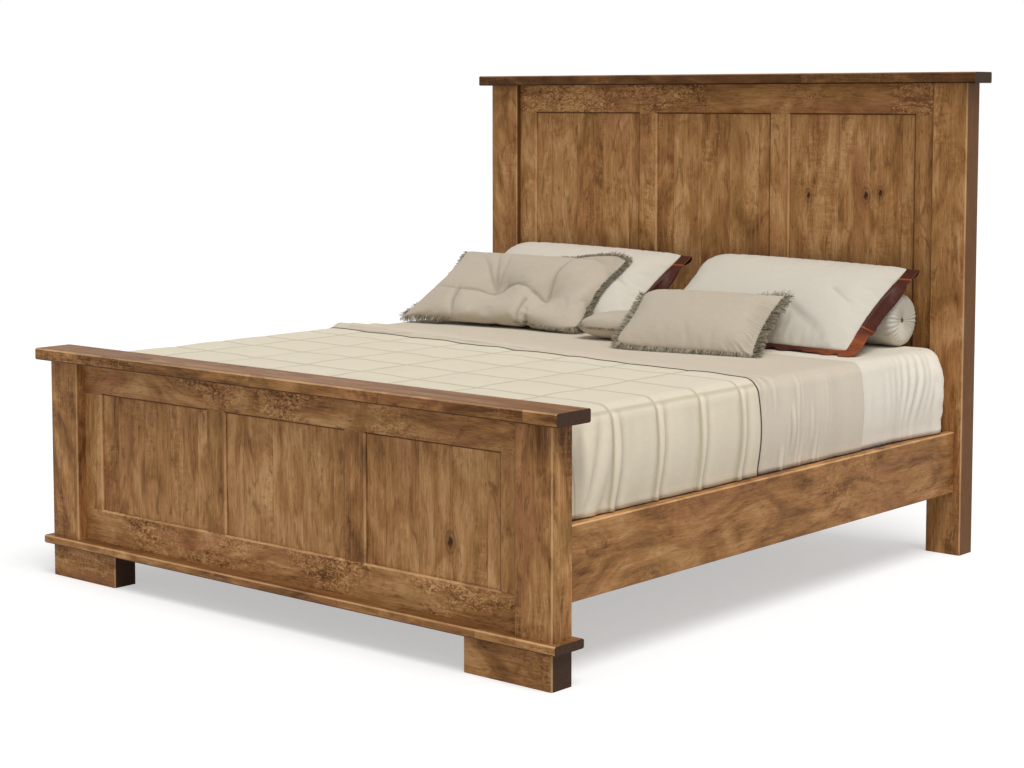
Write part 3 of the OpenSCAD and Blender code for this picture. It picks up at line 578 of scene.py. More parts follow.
def head_reach(angle):
    """How much further out the head's squarer corners reach than corners as round as the foot's,
    measured from the centre of such a corner, at an angle from the side."""
    cos = abs(math.cos(angle))
    sin = abs(math.sin(angle))
    shift = CORNER - HEAD_CORNER
    straight = CORNER / max(cos, sin)
    if straight * min(cos, sin) <= shift:
        return straight - CORNER
    along = shift * (cos + sin)
    return along + math.sqrt(along ** 2 - 2 * shift ** 2 + HEAD_CORNER ** 2) - CORNER


def way_round(nx, ny, closed):
    """The places along the edge of a cloth's flat grid, from the left head corner over the foot
    to the right one, and back along the head if closed: column, row, the angle outwards from +X,
    and the side."""
    corner = range(CORNER_TURN, 90, CORNER_TURN)
    around = [(0, row, 180, -1) for row in range(ny, -1, -1)]
    around += [(0, 0, 180 + turn, 0) for turn in corner]
    around += [(column, 0, 270, 0) for column in range(nx + 1)]
    around += [(nx, 0, 270 + turn, 0) for turn in corner]
    around += [(nx, row, 0, 1) for row in range(ny + 1)]
    if closed:
        around += [(nx, ny, turn, 0) for turn in corner]
        around += [(column, ny, 90, 0) for column in range(nx, -1, -1)]
        around += [(0, ny, 90 + turn, 0) for turn in corner]
    return np.array(around).T


def wrapped_cloth(name, material, d, ends, lift, cell=(22 * MM, 6 * MM), hem=HEM,
                  thickness=1.5 * MM, top_width=9):
    """A cloth over the mattress. ends gives y at its left and right head corners, or None where
    it goes round the head as well. lift(u, v, s, side) is how far it stands out, where (u, v) is
    the place on the flat cloth, s the length outwards and side is -1, 0 or 1 for left, end, right.
    Gives the piece and the line of its head edge, from hem to hem."""
    last = ends or [INNER_HEAD, INNER_HEAD]
    nx = round(2 * INNER_X / cell[0])
    ny = round((max(last) - INNER_FOOT) / cell[1])
    columns = np.linspace(-INNER_X, INNER_X, nx + 1)
    head = np.interp(columns, [-INNER_X, INNER_X], last)
    grid_x = np.repeat(columns, ny + 1)
    grid_y = (INNER_FOOT + np.outer(head - INNER_FOOT, np.linspace(0, 1, ny + 1))).ravel()
    start = grid_x.size

    column, row, angle, side = way_round(nx, ny, ends is None)
    at = column * (ny + 1) + row
    count = len(at)
    squarer = [head_reach(math.radians(a)) if 0 < a < 180 else 0.0 for a in angle]
    drop = hem - FLAT - ROUND
    steps = np.concatenate([
        np.arange(1, FLAT_ROWS) / FLAT_ROWS * FLAT, FLAT + np.arange(ROUND_ROWS) / ROUND_ROWS * ROUND,
        FLAT + ROUND + np.linspace(0, drop, round(drop / cell[0] * HANGING_FINER) + 1)])

    def everywhere(on_grid, on_ring):
        """Values on the flat grid, followed by those on each ring of points outwards."""
        return np.concatenate([on_grid] + [on_ring] * len(steps))

    # The directions are rounded, so that the sides run exactly along the bed and across it
    none = np.zeros(start)
    s = np.concatenate([none, np.repeat(steps, count)])
    side = everywhere(none, side)
    from_x = everywhere(grid_x, grid_x[at])
    from_y = everywhere(grid_y, grid_y[at])
    out_x = everywhere(none, np.cos(np.radians(angle)).round(12))
    out_y = everywhere(none, np.sin(np.radians(angle)).round(12))
    u = from_x + out_x * s
    v = from_y + out_y * s
    out, z, look_out, look_up = profile(s, d)
    high = lift(u, v, s, side)
    out = out + everywhere(none, squarer) * np.clip(s / FLAT, 0, 1) + look_out * high
    points = np.stack([from_x + out_x * out, from_y + out_y * out, z + look_up * high], 1)
    facing = np.stack([out_x * look_out, out_y * look_out, look_up], 1)
    # Painted shade: how far each point lies below its neighbours, which darkens the cloth in folds
    fold_shade = np.concatenate([
        hollows(high[:start].reshape(nx + 1, ny + 1), top_width).ravel(),
        hollows(high[start:].reshape(len(steps), count)).ravel()])

    first = start + count * np.arange(len(steps))
    rings = [at] + [np.arange(number, number + count) for number in first]
    faces = ring_faces(nx + 1, ny + 1, closed=False)
    for near, far in zip(rings, rings[1:]):
        for k in range(count if ends is None else count - 1):
            n = (k + 1) % count
            face = (far[k], far[n], near[n], near[k])
            faces.append(face[:3] if near[n] == near[k] else face)
    piece = new_piece(name, points, faces, material)
    set_vector(piece, "on_cloth", np.stack([u, v, s], 1))
    set_value(piece, "fold_shade", fold_shade)
    thicken(piece, thickness)
    edge = [*first[::-1], *range(ny, start, ny + 1), *(first + count - 1)]
    return piece, (points + facing * thickness * EDGE_LINE)[edge]


def hollows(high, width=9):
    """How far each point of a cloth lies below its neighbours along the cloth: from -0.3 on a
    ridge to 1 in a deep fold."""
    padded = np.pad(high, ((0, 0), (width // 2, width // 2)), mode="edge")
    mean = sum(padded[:, i:i + high.shape[1]] for i in range(width)) / width
    return np.clip((mean - high) / DEEP_FOLD, -0.3, 1)


def folds(t, seed):
    """Rounded folds from 0 to 1, one for each unit of t, each of its own height."""
    whole = np.floor(t).astype(int)
    high = np.random.default_rng(seed).uniform(0.25, 1.0, 256)[whole % 256]
    part = t - whole
    return high * np.sin(math.pi * part) ** 1.5


CORD_SIDES = 8


def tube(name, line, radius, material):
    """A closed round cord along a line of points."""
    ahead = np.gradient(line, axis=0)
    ahead /= np.linalg.norm(ahead, axis=1)[:, None]
    side = np.cross(ahead, (0.02, 1.0, 0.05))
    side /= np.linalg.norm(side, axis=1)[:, None]
    up = np.cross(side, ahead)
    points = []
    for centre, right, top in zip(line, side, up):
        for corner in range(CORD_SIDES):
            angle = 2 * math.pi * corner / CORD_SIDES
            points.append(centre + radius * (right * math.cos(angle) + top * math.sin(angle)))
    last = len(points) - 1
    faces = [tuple(range(CORD_SIDES)), tuple(range(last, last - CORD_SIDES, -1))]
    faces += ring_faces(len(line), CORD_SIDES)
    return new_piece(name, points, faces, material)


def no_lift(u, v, s, side):
    return np.zeros(u.size)


def make_mattress():
    ticking = cloth("ticking", TICKING, mottle=0.04)
    whole = FLAT + ROUND + SIDE_H + EDGE * math.pi / 2
    piece, _ = wrapped_cloth(
        "mattress_cover", ticking, 0.0, None, no_lift, (60 * MM, 60 * MM), whole, 1 * MM)
    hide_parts("mattress")
    dress("foundation", ticking)


def make_fitted_sheet():
    def lift(u, v, s, side):
        """Slanting folds where the sheet is bare, and fullness round the head corners."""
        bare = rise(v, SHEET_END, 0.05)
        near_head = rise(v, 0.72, 0.25)
        outward = rise(np.abs(u), INNER_X, np.maximum(s, MM)) ** 2
        slant = v + 0.35 * (s - FLAT) * near_head + 0.03 * plain_noise(v / 0.11, s / 0.15, 12)
        some = np.clip(0.5 + 0.9 * plain_noise(v / 0.1, s / 0.11, 13), 0, 1)
        wave = 0.006 * folds(slant / 0.042, 11) * rise(v, 0.45, 0.3) * some
        full = 0.024 * near_head * rise(s, FLAT, 0.07)
        return bare * rise(s, FLAT, 0.1) * (wave + full) * outward

    white = cloth("white_sheet", SHEET_WHITE, mottle=0.04, side_painted_light=WHITE_SIDE_PAINTED_LIGHT)
    piece, _ = wrapped_cloth(
        "fitted_sheet_cloth", white, 0.3 * MM, None, lift, (24 * MM, 7 * MM))
    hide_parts("fitted_sheet")


QUILT_SQUARE = 203 * MM
QUILT_ACROSS = 250 * MM
QUILT_SIDE_SEAM = 976 * MM
QUILT_CROSS_SEAM = -376 * MM
QUILT_SKEW = 0.06
QUILT_ENDS = [0.060, -0.082]
SHEET_END = 0.510

# On the top sheet past the quilt's edge. Rolls: how far past, half width and height.
# Creases: how far past at the left, how much further at their end, and the share of the bed's
# width that they cross.
TOP_ROLLS = [(0.033, 0.032, 0.027), (0.095, 0.034, 0.021), (0.2, 0.05, 0.01)]
TOP_CREASES = [(0.004, 0.030, 0.6), (0.020, 0.022, 0.9)]


def quilt_lift(u, v, s, side):
    """Stuffed squares, a ridge beside each seam where the quilt hangs, and folds at the corners."""
    v = v - QUILT_SKEW * (QUILT_SIDE_SEAM - u)
    puff_v = np.abs(np.sin(math.pi * (v - QUILT_CROSS_SEAM) / QUILT_SQUARE))
    puff_u = np.abs(np.sin(math.pi * (u - QUILT_SIDE_SEAM) / QUILT_ACROSS))
    puff = np.sqrt(np.clip(puff_v * puff_u, 0, 1))
    hang = rise(s, FLAT + 0.02, 0.06)
    waver = 0.012 * plain_noise(s / 0.16, v / 0.4, 41)
    after = ((v - QUILT_CROSS_SEAM - waver) / QUILT_SQUARE) % 1.0
    ridge = (bell(after, 0.09, 0.055) - 0.35 * bell(after, 0.22, 0.07)) * np.abs(side)
    swirl = folds((v + 0.25 * (s - FLAT)) / 0.075, 42) * bell(v, INNER_FOOT, 0.13) * np.abs(side)
    soft = plain_noise(u / 0.09, v / 0.09, 43) * (1 - hang) + plain_noise(v / 0.06, s / 0.2, 44) * hang
    calm = np.where((side == 0) & (s > FLAT), 0.15, 1.0)
    return calm * (0.0035 * puff + hang * (0.0075 * ridge + 0.009 * swirl) + 0.002 * soft)


def make_quilt():
    def seams(shade, colour):
        """Draws the stitching, fainter on the sides where it runs along the bed."""
        u, v, s = shade.split(shade.read("on_cloth", "Vector"))
        v = shade.total(v, (u, QUILT_SKEW), -QUILT_SKEW * QUILT_SIDE_SEAM)
        hang = shade.step(s, FLAT, FLAT + ROUND)
        faint = shade.step(hang, 0.3, 1.0, 1.0, 0.22)
        lines = 0.0
        for value, first, square, strong in (
                (u, QUILT_SIDE_SEAM, QUILT_ACROSS, faint), (v, QUILT_CROSS_SEAM, QUILT_SQUARE, 1.0)):
            gap = shade.pieces(value, first, square)[1]
            line = shade.times(shade.step(gap, 1.5 * MM, 9 * MM, 1.0, 0.0), strong)
            lines = shade.larger(lines, line)
        return shade.mix(shade.times(lines, 0.5), colour, QUILT_SEAM)

    cream = cloth("cream_quilt", QUILT_CREAM, mottle=0.04, side_painted_light=QUILT_SIDE_PAINTED_LIGHT, marks=seams)
    piece, edge = wrapped_cloth(
        "quilt_cloth", cream, 3.9 * MM, QUILT_ENDS, quilt_lift, thickness=7 * MM)
    piping = cloth("piping", PIPING, thread=0.7 * MM, mottle=0.2)
    cord = tube("quilt_piping", edge + np.array([0, 1.5 * MM, 0]), 3.4 * MM, piping)
    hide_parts("quilt")


def make_top_sheet():
    def fold_back(u, v):
        """The soft folds across the bed just past the quilt's edge, lower towards the right."""
        past = v - np.interp(u, [-INNER_X, INNER_X], QUILT_ENDS)
        to_right = rise(u, -INNER_X, 2 * INNER_X)
        past = past * (1 + 0.9 * to_right) + 0.006 * plain_noise(u / 0.3, 0.5, 25)
        high = 0.0
        for centre, half, height in TOP_ROLLS:
            high = high + height * np.clip(1 - ((past - centre) / half) ** 2, 0, 1) ** 0.7
        for first, run, width in TOP_CREASES:
            line = first + run * to_right / width + 0.004 * plain_noise(u / 0.12, first * 90, 26)
            high = high - 0.006 * bell(past, line, 0.006) * rise(to_right, width, -0.1)
        return np.maximum(high, 0) * np.clip(1.3 - 1.2 * to_right, 0.2, 1)

    def lift(u, v, s, side):
        """The folds across the bed, and fine folds down its sides."""
        down = rise(s, FLAT, 0.08)
        drawn = bell(v, 0.075, 0.085) + 0.5 * bell(v, 0.24, 0.08)
        lean = v + 0.07 * (s - FLAT) + 0.006 * plain_noise(v / 0.06, s / 0.1, 22)
        low = np.clip(0.4 + plain_noise(v / 0.05, s / 0.12, 23), 0, 1)
        fine = 0.013 * folds(lean / 0.026, 21) * np.clip(drawn, 0, 1) * low
        broad = 0.003 * (1 + plain_noise(v / 0.07, s / 0.4, 24))
        return rise(v, -0.07, 0.08) * down * (fine + broad) + (1 - down) * fold_back(u, v)

    greige = cloth("greige_sheet", SHEET_GREIGE, mottle=0.04, side_painted_light=GREIGE_SIDE_PAINTED_LIGHT)
    piece, _ = wrapped_cloth(
        "top_sheet_cloth", greige, 2.1 * MM, [SHEET_END + 0.065, SHEET_END], lift,
        top_width=5)
    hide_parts("top_sheet")


# Cushions. Each is made flat in its own frame, with its front face up, and its object is tilted
# up at the far edge, turned about the upright and set down.
HEAD_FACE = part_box("headboard_post_right")[0].y
BED_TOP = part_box("fitted_sheet")[1].z
COVER_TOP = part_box("top_sheet")[1].z
BODY_GAP = 1 * MM
NEIGHBOUR_GAP = 3 * MM
CROWN_BLUNT = 0.55


class Cushion:
    """Its size, its trim, and its place: x, distance from the headboard, height over the sheet.
    Tilt, turn and lean are degrees, and lean turns it in its own plane, its right end down."""

    def __init__(self, size, draw_in, trim, trim_t, tilt, turn, lean, place, rounding,
                 flat=2.4, spread=(0, 0, 0)):
        self.size = np.array(size) * MM
        self.rounding = np.array(rounding) * MM
        self.draw_in = draw_in
        self.flat = flat
        self.spread = np.array(spread) * MM
        self.trim = trim * MM
        self.trim_t = trim_t * MM
        centre = Vector((place[0] * MM, HEAD_FACE - place[1] * MM, BED_TOP + place[2] * MM))
        self.matrix = (
            Matrix.Translation(centre) @ Matrix.Rotation(math.radians(turn), 4, "Z")
            @ Matrix.Rotation(math.radians(tilt), 4, "X")
            @ Matrix.Rotation(math.radians(-lean), 4, "Z"))

    def crown(self, u, v):
        u = np.clip(np.abs(u), 0, 1)
        v = np.clip(np.abs(v), 0, 1)
        return self.size[2] / 2 * ((1 - u ** self.flat) * (1 - v ** self.flat)) ** CROWN_BLUNT

    def outline(self, u, v):
        """The flat shape: sides drawn in between the corners, which are rounded."""
        half = self.size / 2
        x = u * half[0] * (1 - self.draw_in[0] * u * u * (1 - v * v))
        y = v * half[1] * (1 - self.draw_in[1] * v * v * (1 - u * u))
        cut = np.where(u < 0, *self.rounding) * np.abs(u * v) ** 7
        return x - np.sign(u) * cut, y - np.sign(v) * cut


SHAM_LEFT = Cushion((840, 455, 150), (0.05, -0.04), 48, 3, 34, 0, 1.6, (-496, 220, 146), (42, 6))
SHAM_RIGHT = Cushion((840, 455, 150), (0.05, -0.02), 48, 3, 34, 0, 1.6, (444, 220, 146), (42, 6))
TUFTED = Cushion((750, 455, 150), (0.06, 0.11), 26, 8, 28, 8, 2.5, (-595, 370, 125), (2, 34),
                 spread=(22, 14, 0))
LUMBAR = Cushion((510, 320, 125), (0.05, -0.03), 26, 9, 31, 13, 0.8, (372, 575, 95), (20, -10))
SMALL = Cushion((380, 210, 98), (0.02, 0), 26, 6, 2, 6, 0, (60, 505, 51), (26, 26), flat=5)
ROLL_LOW, ROLL_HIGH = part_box("bolster")
ROLL_R = (ROLL_HIGH.z - ROLL_LOW.z) / 2
ROLL_CENTRE = (np.array(ROLL_LOW) + np.array(ROLL_HIGH)) / 2


def move(matrix, points):
    turn = np.array(matrix)[:3, :3]
    return points @ turn.T + np.array(matrix.translation)


def off_roll(points):
    """Points that would enter the roll are moved to just outside it."""
    y = points[:, 1] - ROLL_CENTRE[1]
    z = points[:, 2] - ROLL_CENTRE[2]
    far = np.hypot(y, z)
    clear = ROLL_R + NEIGHBOUR_GAP
    beside = (points[:, 0] < ROLL_LOW.x - 0.03) | (points[:, 0] > ROLL_HIGH.x + 0.03)
    push = np.where(beside | (far >= clear), 1.0, clear / np.maximum(far, 0.001))
    moved = points.copy()
    moved[:, 1] += y * (push - 1)
    moved[:, 2] += z * (push - 1)
    return moved


def set_down(piece, cushion):
    """Moves a piece that was made in the cushion's frame to its place on the bed."""
    piece.matrix_world = cushion.matrix
    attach(piece, "root")


def off_cushion(other, points):
    """Points that would enter the front of another cushion are moved to just outside it."""
    local = move(other.matrix.inverted(), points)
    half = other.size / 2
    swell = other.crown(local[:, 0] / half[0], local[:, 1] / half[1])
    clear = np.maximum(other.trim_t / 2, swell) + NEIGHBOUR_GAP
    reach = other.trim + NEIGHBOUR_GAP
    beside = (np.abs(local[:, 0]) >= half[0] + reach) | (np.abs(local[:, 1]) >= half[1] + reach)
    local[:, 2] = np.where(beside, local[:, 2], np.maximum(local[:, 2], clear))
    return move(other.matrix, local)


def settle(points, cushion, lies_on, behind, on_roll, thick=0.0):
    """Points in the cushion's frame give way to the roll, to the cushions behind and to the bed."""
    placed = move(cushion.matrix, points)
    if on_roll:
        placed = off_roll(placed)
    for other in behind:
        placed = off_cushion(other, placed)
    placed[:, 2] = np.maximum(placed[:, 2], lies_on + BODY_GAP + thick)
    return move(cushion.matrix.inverted(), placed)


def two_faces(nx, ny):
    """A front and a back grid that share their rim. Gives the shares of the half size, the side
    of each point, the faces, and the rim's points in order."""
    front = np.arange((nx + 1) * (ny + 1)).reshape(nx + 1, ny + 1)
    u, v = np.meshgrid(np.linspace(-1, 1, nx + 1), np.linspace(-1, 1, ny + 1), indexing="ij")
    back = front.copy()
    inner = (nx - 1) * (ny - 1)
    back[1:-1, 1:-1] = front.size + np.arange(inner).reshape(nx - 1, ny - 1)
    faces = []
    for i in range(nx):
        for j in range(ny):
            faces.append((front[i, j], front[i + 1, j], front[i + 1, j + 1], front[i, j + 1]))
            faces.append((back[i, j], back[i, j + 1], back[i + 1, j + 1], back[i + 1, j]))
    rim = [*front[:nx, 0], *front[nx, :ny], *front[nx:0:-1, ny], *front[0, ny:0:-1]]
    side = np.concatenate([np.ones(front.size), -np.ones(inner)])
    side[rim] = 0
    uu = np.concatenate([u.ravel(), u[1:-1, 1:-1].ravel()])
    vv = np.concatenate([v.ravel(), v[1:-1, 1:-1].ravel()])
    return uu, vv, side, faces, rim


STUFFING_FRAMES = 24


def inflate(piece, fixed, slack):
    """Fills a sewn cover: a cloth simulation with pressure inside and no gravity, in which the
    fixed points stay. Slack is the share by which the cloth is cut larger than the form."""
    piece.vertex_groups.new(name="sewn").add([int(i) for i in fixed], 1.0, "REPLACE")
    made = piece.modifiers.new("stuffing", "CLOTH")
    settings = made.settings
    settings.quality = 6
    settings.mass = 0.2
    settings.tension_stiffness = 20
    settings.compression_stiffness = 20
    settings.shear_stiffness = 8
    settings.bending_stiffness = 0.3
    settings.use_pressure = True
    settings.uniform_pressure_force = 4.0
    settings.shrink_min = -slack
    settings.effector_weights.gravity = 0
    settings.vertex_group_mass = "sewn"
    made.point_cache.frame_start = 1
    made.point_cache.frame_end = STUFFING_FRAMES
    for number in range(1, STUFFING_FRAMES + 1):
        bpy.context.scene.frame_set(number)
    apply_modifiers(piece)
    bpy.context.scene.frame_set(1)


CELL = 10 * MM
TUFT_HALF = 14 * MM
TUFT_R = 55 * MM


def crease_depth(points, side, lines):
    """How deep the creases drawn in a cushion's front are at each point: a thin fold in a broad
    soft valley, which fades towards its last point. A line is (depth, width, its points), in
    millimetres. Gives the whole depth, and the thin fold alone as a share, which becomes painted
    shade."""
    total = np.zeros(len(points))
    thin = np.zeros(len(points))
    for depth, width, path in lines:
        path = np.array(path) * MM
        lengths = np.linalg.norm(np.diff(path, axis=0), axis=1)
        before = np.concatenate([[0], np.cumsum(lengths)]) / lengths.sum()
        near = np.full(len(points), np.inf)
        along = np.zeros(len(points))
        for i in range(len(path) - 1):
            run = path[i + 1] - path[i]
            share = np.clip(((points[:, :2] - path[i]) @ run) / (run @ run), 0, 1)
            gap = np.linalg.norm(points[:, :2] - path[i] - share[:, None] * run, axis=1)
            along = np.where(gap < near, before[i] + share * (before[i + 1] - before[i]), along)
            near = np.minimum(near, gap)
        fade = 1 - along ** 2
        fold = bell(near, 0, width * MM)
        valley = bell(near, 0, width * MM * 4.5)
        total = np.maximum(total, depth * MM * fade * (0.45 * fold + 0.55 * valley))
        thin = np.maximum(thin, fade * fold * depth / 10)
    return total * (side > 0), thin * (side > 0)


def pucker_depth(u, v, side, seed):
    """Short folds that run in from the seams at the right end."""
    edge = np.minimum(1 - np.abs(u), 1 - np.abs(v))
    turn = np.arctan2(v, u)
    right = rise(u, 0.5, 0.25) * rise(v, 0.8, -0.5)
    deep = folds(turn / 0.075 + 0.5 * plain_noise(turn * 6, edge * 9, seed), seed)
    return 0.011 * right * (0.5 - deep) * bell(edge, 0.09, 0.12) * (side > 0)


def stuffed(name, cushion, material, slot, lies_on, slack, behind=(), on_roll=False, tufts=(),
            free_rim=False, creases=(), puckers=False):
    """A sewn and stuffed cover. Gives its rim, in the cushion's frame."""
    width, height, _ = cushion.size
    u, v, side, faces, rim = two_faces(round(width / CELL), round(height / CELL))
    x, y = cushion.outline(u, v)
    lift = cushion.crown(u, v)
    points = np.stack([x, y, side * lift], 1)
    fixed = [] if free_rim else list(rim)
    for tx, ty in tufts:
        far = np.hypot(x - tx * MM, y - ty * MM)
        points[:, 2] *= 1 - (1 - TUFT_HALF / np.maximum(lift, TUFT_HALF)) * bell(far, 0, TUFT_R)
        fixed.extend(np.where((far < CELL * 0.8) & (side != 0))[0])
    piece = new_piece(name, points, faces, material)
    inflate(piece, fixed, slack)
    points = read_points(piece)
    low, high = points.min(0), points.max(0)
    scale = (cushion.size + cushion.spread) / (high - low) if free_rim else np.ones(3)
    scale[2] = cushion.size[2] / (high - low)[2]
    points = (points - (low + high) / 2 * free_rim) * scale
    made = piece.modifiers.new("smooth", "SUBSURF")
    write_points(piece, points)
    set_vector(piece, "share", np.stack([u, v, side], 1))
    made.levels = made.render_levels = 1
    apply_modifiers(piece)
    points = read_points(piece)
    share = np.zeros(len(points) * 3, np.float32)
    piece.data.attributes["share"].data.foreach_get("vector", share)
    share = share.reshape(-1, 3)
    # The thin creases and the puckers are darkened by painted shade
    deep, dark = crease_depth(points, share[:, 2], creases)
    if puckers:
        short = pucker_depth(*share.T, 71)
        deep = deep + short
        dark = dark + short / (9 * MM)
    points[:, 2] -= deep
    set_value(piece, "fold_shade", np.clip(dark, -0.3, 1))
    points = settle(points, cushion, lies_on, behind, on_roll)
    write_points(piece, points)
    piece.data.update()
    piece.data.shade_smooth()
    set_down(piece, cushion)
    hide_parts(name.replace("_cover", ""))
    return points[rim]


TUFTS = [(-66, -48), (166, -63)]
TUFT_CREASES = [
    (16, 5, [(20, -14), (-30, -14), (-66, -48), (-200, -86), (-340, -84)]),
    (17, 5, [(-30, -14), (20, -14), (111, -50), (166, -63)]),
    (19, 5, [(111, -50), (166, -63), (162, 52), (178, 185)]),
    (17, 5, [(-205, -82), (-192, -150), (-150, -235)]),
    (16, 5, [(108, -100), (113, -183), (140, -235)]),
    (9, 5, [(-66, -48), (-150, 60), (-235, 150)]),
    (10, 5, [(-66, -48), (-110, 70), (-165, 170)]),
    (7, 5, [(-66, -48), (-70, 70), (-100, 170)])]
SHAM_CREASES = [
    (6, 6, [(250, 20), (300, -10), (360, -40)]),
    (9, 16, [(110, -70), (200, -120), (320, -190)])]


def along_rim(rim, spacing):
    """Points spaced evenly round a closed rim, with the direction outwards in its plane."""
    closed = np.vstack([rim, rim[:1]])
    lengths = np.linalg.norm(np.diff(closed, axis=0), axis=1)
    reach = np.concatenate([[0], np.cumsum(lengths)])
    at = np.linspace(0, reach[-1], int(reach[-1] / spacing), endpoint=False)
    spots = np.stack([np.interp(at, reach, closed[:, i]) for i in range(3)], 1)
    wide = max(1, round(12 * MM / spacing))
    ahead = np.roll(spots, -wide, 0) - np.roll(spots, wide, 0)
    out = np.stack([ahead[:, 1], -ahead[:, 0], np.zeros(len(at))], 1)
    out /= np.linalg.norm(out, axis=1)[:, None]
    return spots, out


STRAND_GAP = 0.75 * MM
STRAND_STEPS = 4
STRAND_SIDES = 3

# How much the strands differ: sideways, up and down, and in their curl
STRANDS_ASIDE = 0.13
STRANDS_UP = 0.2
STRANDS_CURL = 0.16

# How much of the tufted cushion's lower fringe shows: places across it from -1 to 1, and shares
TUCKED = ([-0.6, -0.45, 0.25, 0.4, 0.85, 0.95], [1, 0.12, 0.12, 0.5, 0.5, 1])


def make_fringe(name, cushion, rim, length, material, lies_on, behind, seed, below):
    """A brush fringe: short strands that stand out from the seam, each its own thin tube. Below
    gives how much of them shows along the lower seam, as shares at places across, or None."""
    rng = np.random.default_rng(seed)
    roots, out = along_rim(rim, STRAND_GAP)
    count = len(roots)
    up = np.tile([0.0, 0.0, 1.0], (count, 1))
    beside = np.cross(up, out)
    to_right = roots[:, :1] / cushion.size[0] * 2
    to_top = out[:, 1:2]

    def some(spread):
        return rng.normal(0, spread, (count, 1))

    length = length * rng.uniform(0.82, 1.04, (count, 1)) * (1 + 0.2 * np.clip(out[:, :1], 0, 1))
    if below:
        length = length * np.where(to_top < -0.7, np.interp(to_right, *below), 1)
    back = np.clip(to_top, 0, 1) ** 2 * np.clip(1.2 - 1.1 * to_right, 0, 1)
    down = np.array(cushion.matrix.inverted())[:3, :3] @ (0.0, 0.0, -1.0)
    aim = 0.7 * np.clip(-to_top, 0, 1) * down + out * (1 - 0.6 * back)
    aim = aim + beside * some(STRANDS_ASIDE) + up * (some(STRANDS_UP) - 0.9 * back)
    aim /= np.linalg.norm(aim, axis=1)[:, None]
    curl = beside * some(STRANDS_CURL) + up * some(STRANDS_CURL) - out * 0.1
    roots = roots - out * 3 * MM + up * rng.uniform(-4, 4, (count, 1)) * MM
    radius = rng.uniform(0.8, 1.3, count) * MM
    rings = []
    for share in np.linspace(0, 1, STRAND_STEPS):
        centre = roots + length * (aim * share + curl * share * share * 0.6)
        for corner in range(STRAND_SIDES):
            angle = 2 * math.pi * corner / STRAND_SIDES
            arm = beside * math.cos(angle) + up * math.sin(angle)
            rings.append(centre + arm * (radius * (1.0 - 0.35 * share))[:, None])
    points = settle(np.stack(rings, 1).reshape(-1, 3), cushion, lies_on, behind, False)
    one = STRAND_STEPS * STRAND_SIDES
    pattern = [tuple(reversed(range(STRAND_SIDES))), tuple(range(one - STRAND_SIDES, one))]
    pattern += ring_faces(STRAND_STEPS, STRAND_SIDES, flip=True)
    faces = [tuple(i + k * one for i in face) for k in range(count) for face in pattern]
    piece = new_piece(name, points, faces, material)
    set_value(piece, "tone", np.repeat(rng.uniform(0, 1, count), one))
    set_down(piece, cushion)


def fringe_material():
    shade = Shade("fringe_yarn", roughness=0.9, specular=0.15)
    shade.surface.inputs["Sheen Weight"].default_value = 0.2
    tone = shade.read("tone")
    mottle = shade.noise(shade.place(), 55.0, 2.0)
    value = shade.total(tone, (mottle, 0.5))
    shade.colour(shade.ramp(value, [
        (0.0, rgb(76, 64, 46)), (0.35, FRINGE_GREY), (0.85, rgb(200, 190, 168))]))
    return shade.material


def flange_material():
    """Dark satin, with a warmer painted lit colour below on the right and painted orange
    highlights along two creases.
    """
    shade = Shade("flange_satin", roughness=0.5, specular=0.2)
    shimmer = shade.noise(shade.place(), (30.0, 160.0, 160.0), 3.0)
    colour = shade.ramp(shade.total(0.5, (shimmer, 0.5)), [
        (0.2, rgb(52, 22, 13)), (0.8, rgb(84, 38, 22))])
    # Painted light: a warmer colour where the flange faces the light
    painted_lit_colour = shade.ramp(shade.total(0.5, (shimmer, 0.6)), [
        (0.2, rgb(96, 44, 22)), (0.8, rgb(160, 82, 36))])
    colour = shade.mix(shade.read("painted_lit"), colour, painted_lit_colour)
    # Painted highlight along the creases
    shade.colour(shade.mix(shade.step(shade.read("crease_highlight"), 0.3, 0.8), colour, FLANGE_CREASE_HIGHLIGHT))
    shade.bump(shimmer, 0.2 * MM)
    return shade.material


FLANGE_CELL = 6 * MM
FLANGE_STEPS = 10
FOLD_BACK = 96

# Heights of the painted crease highlights at the right end, from -1 below to 1 above
FLANGE_HIGHLIGHT_HEIGHTS = (-0.42, 0.72)


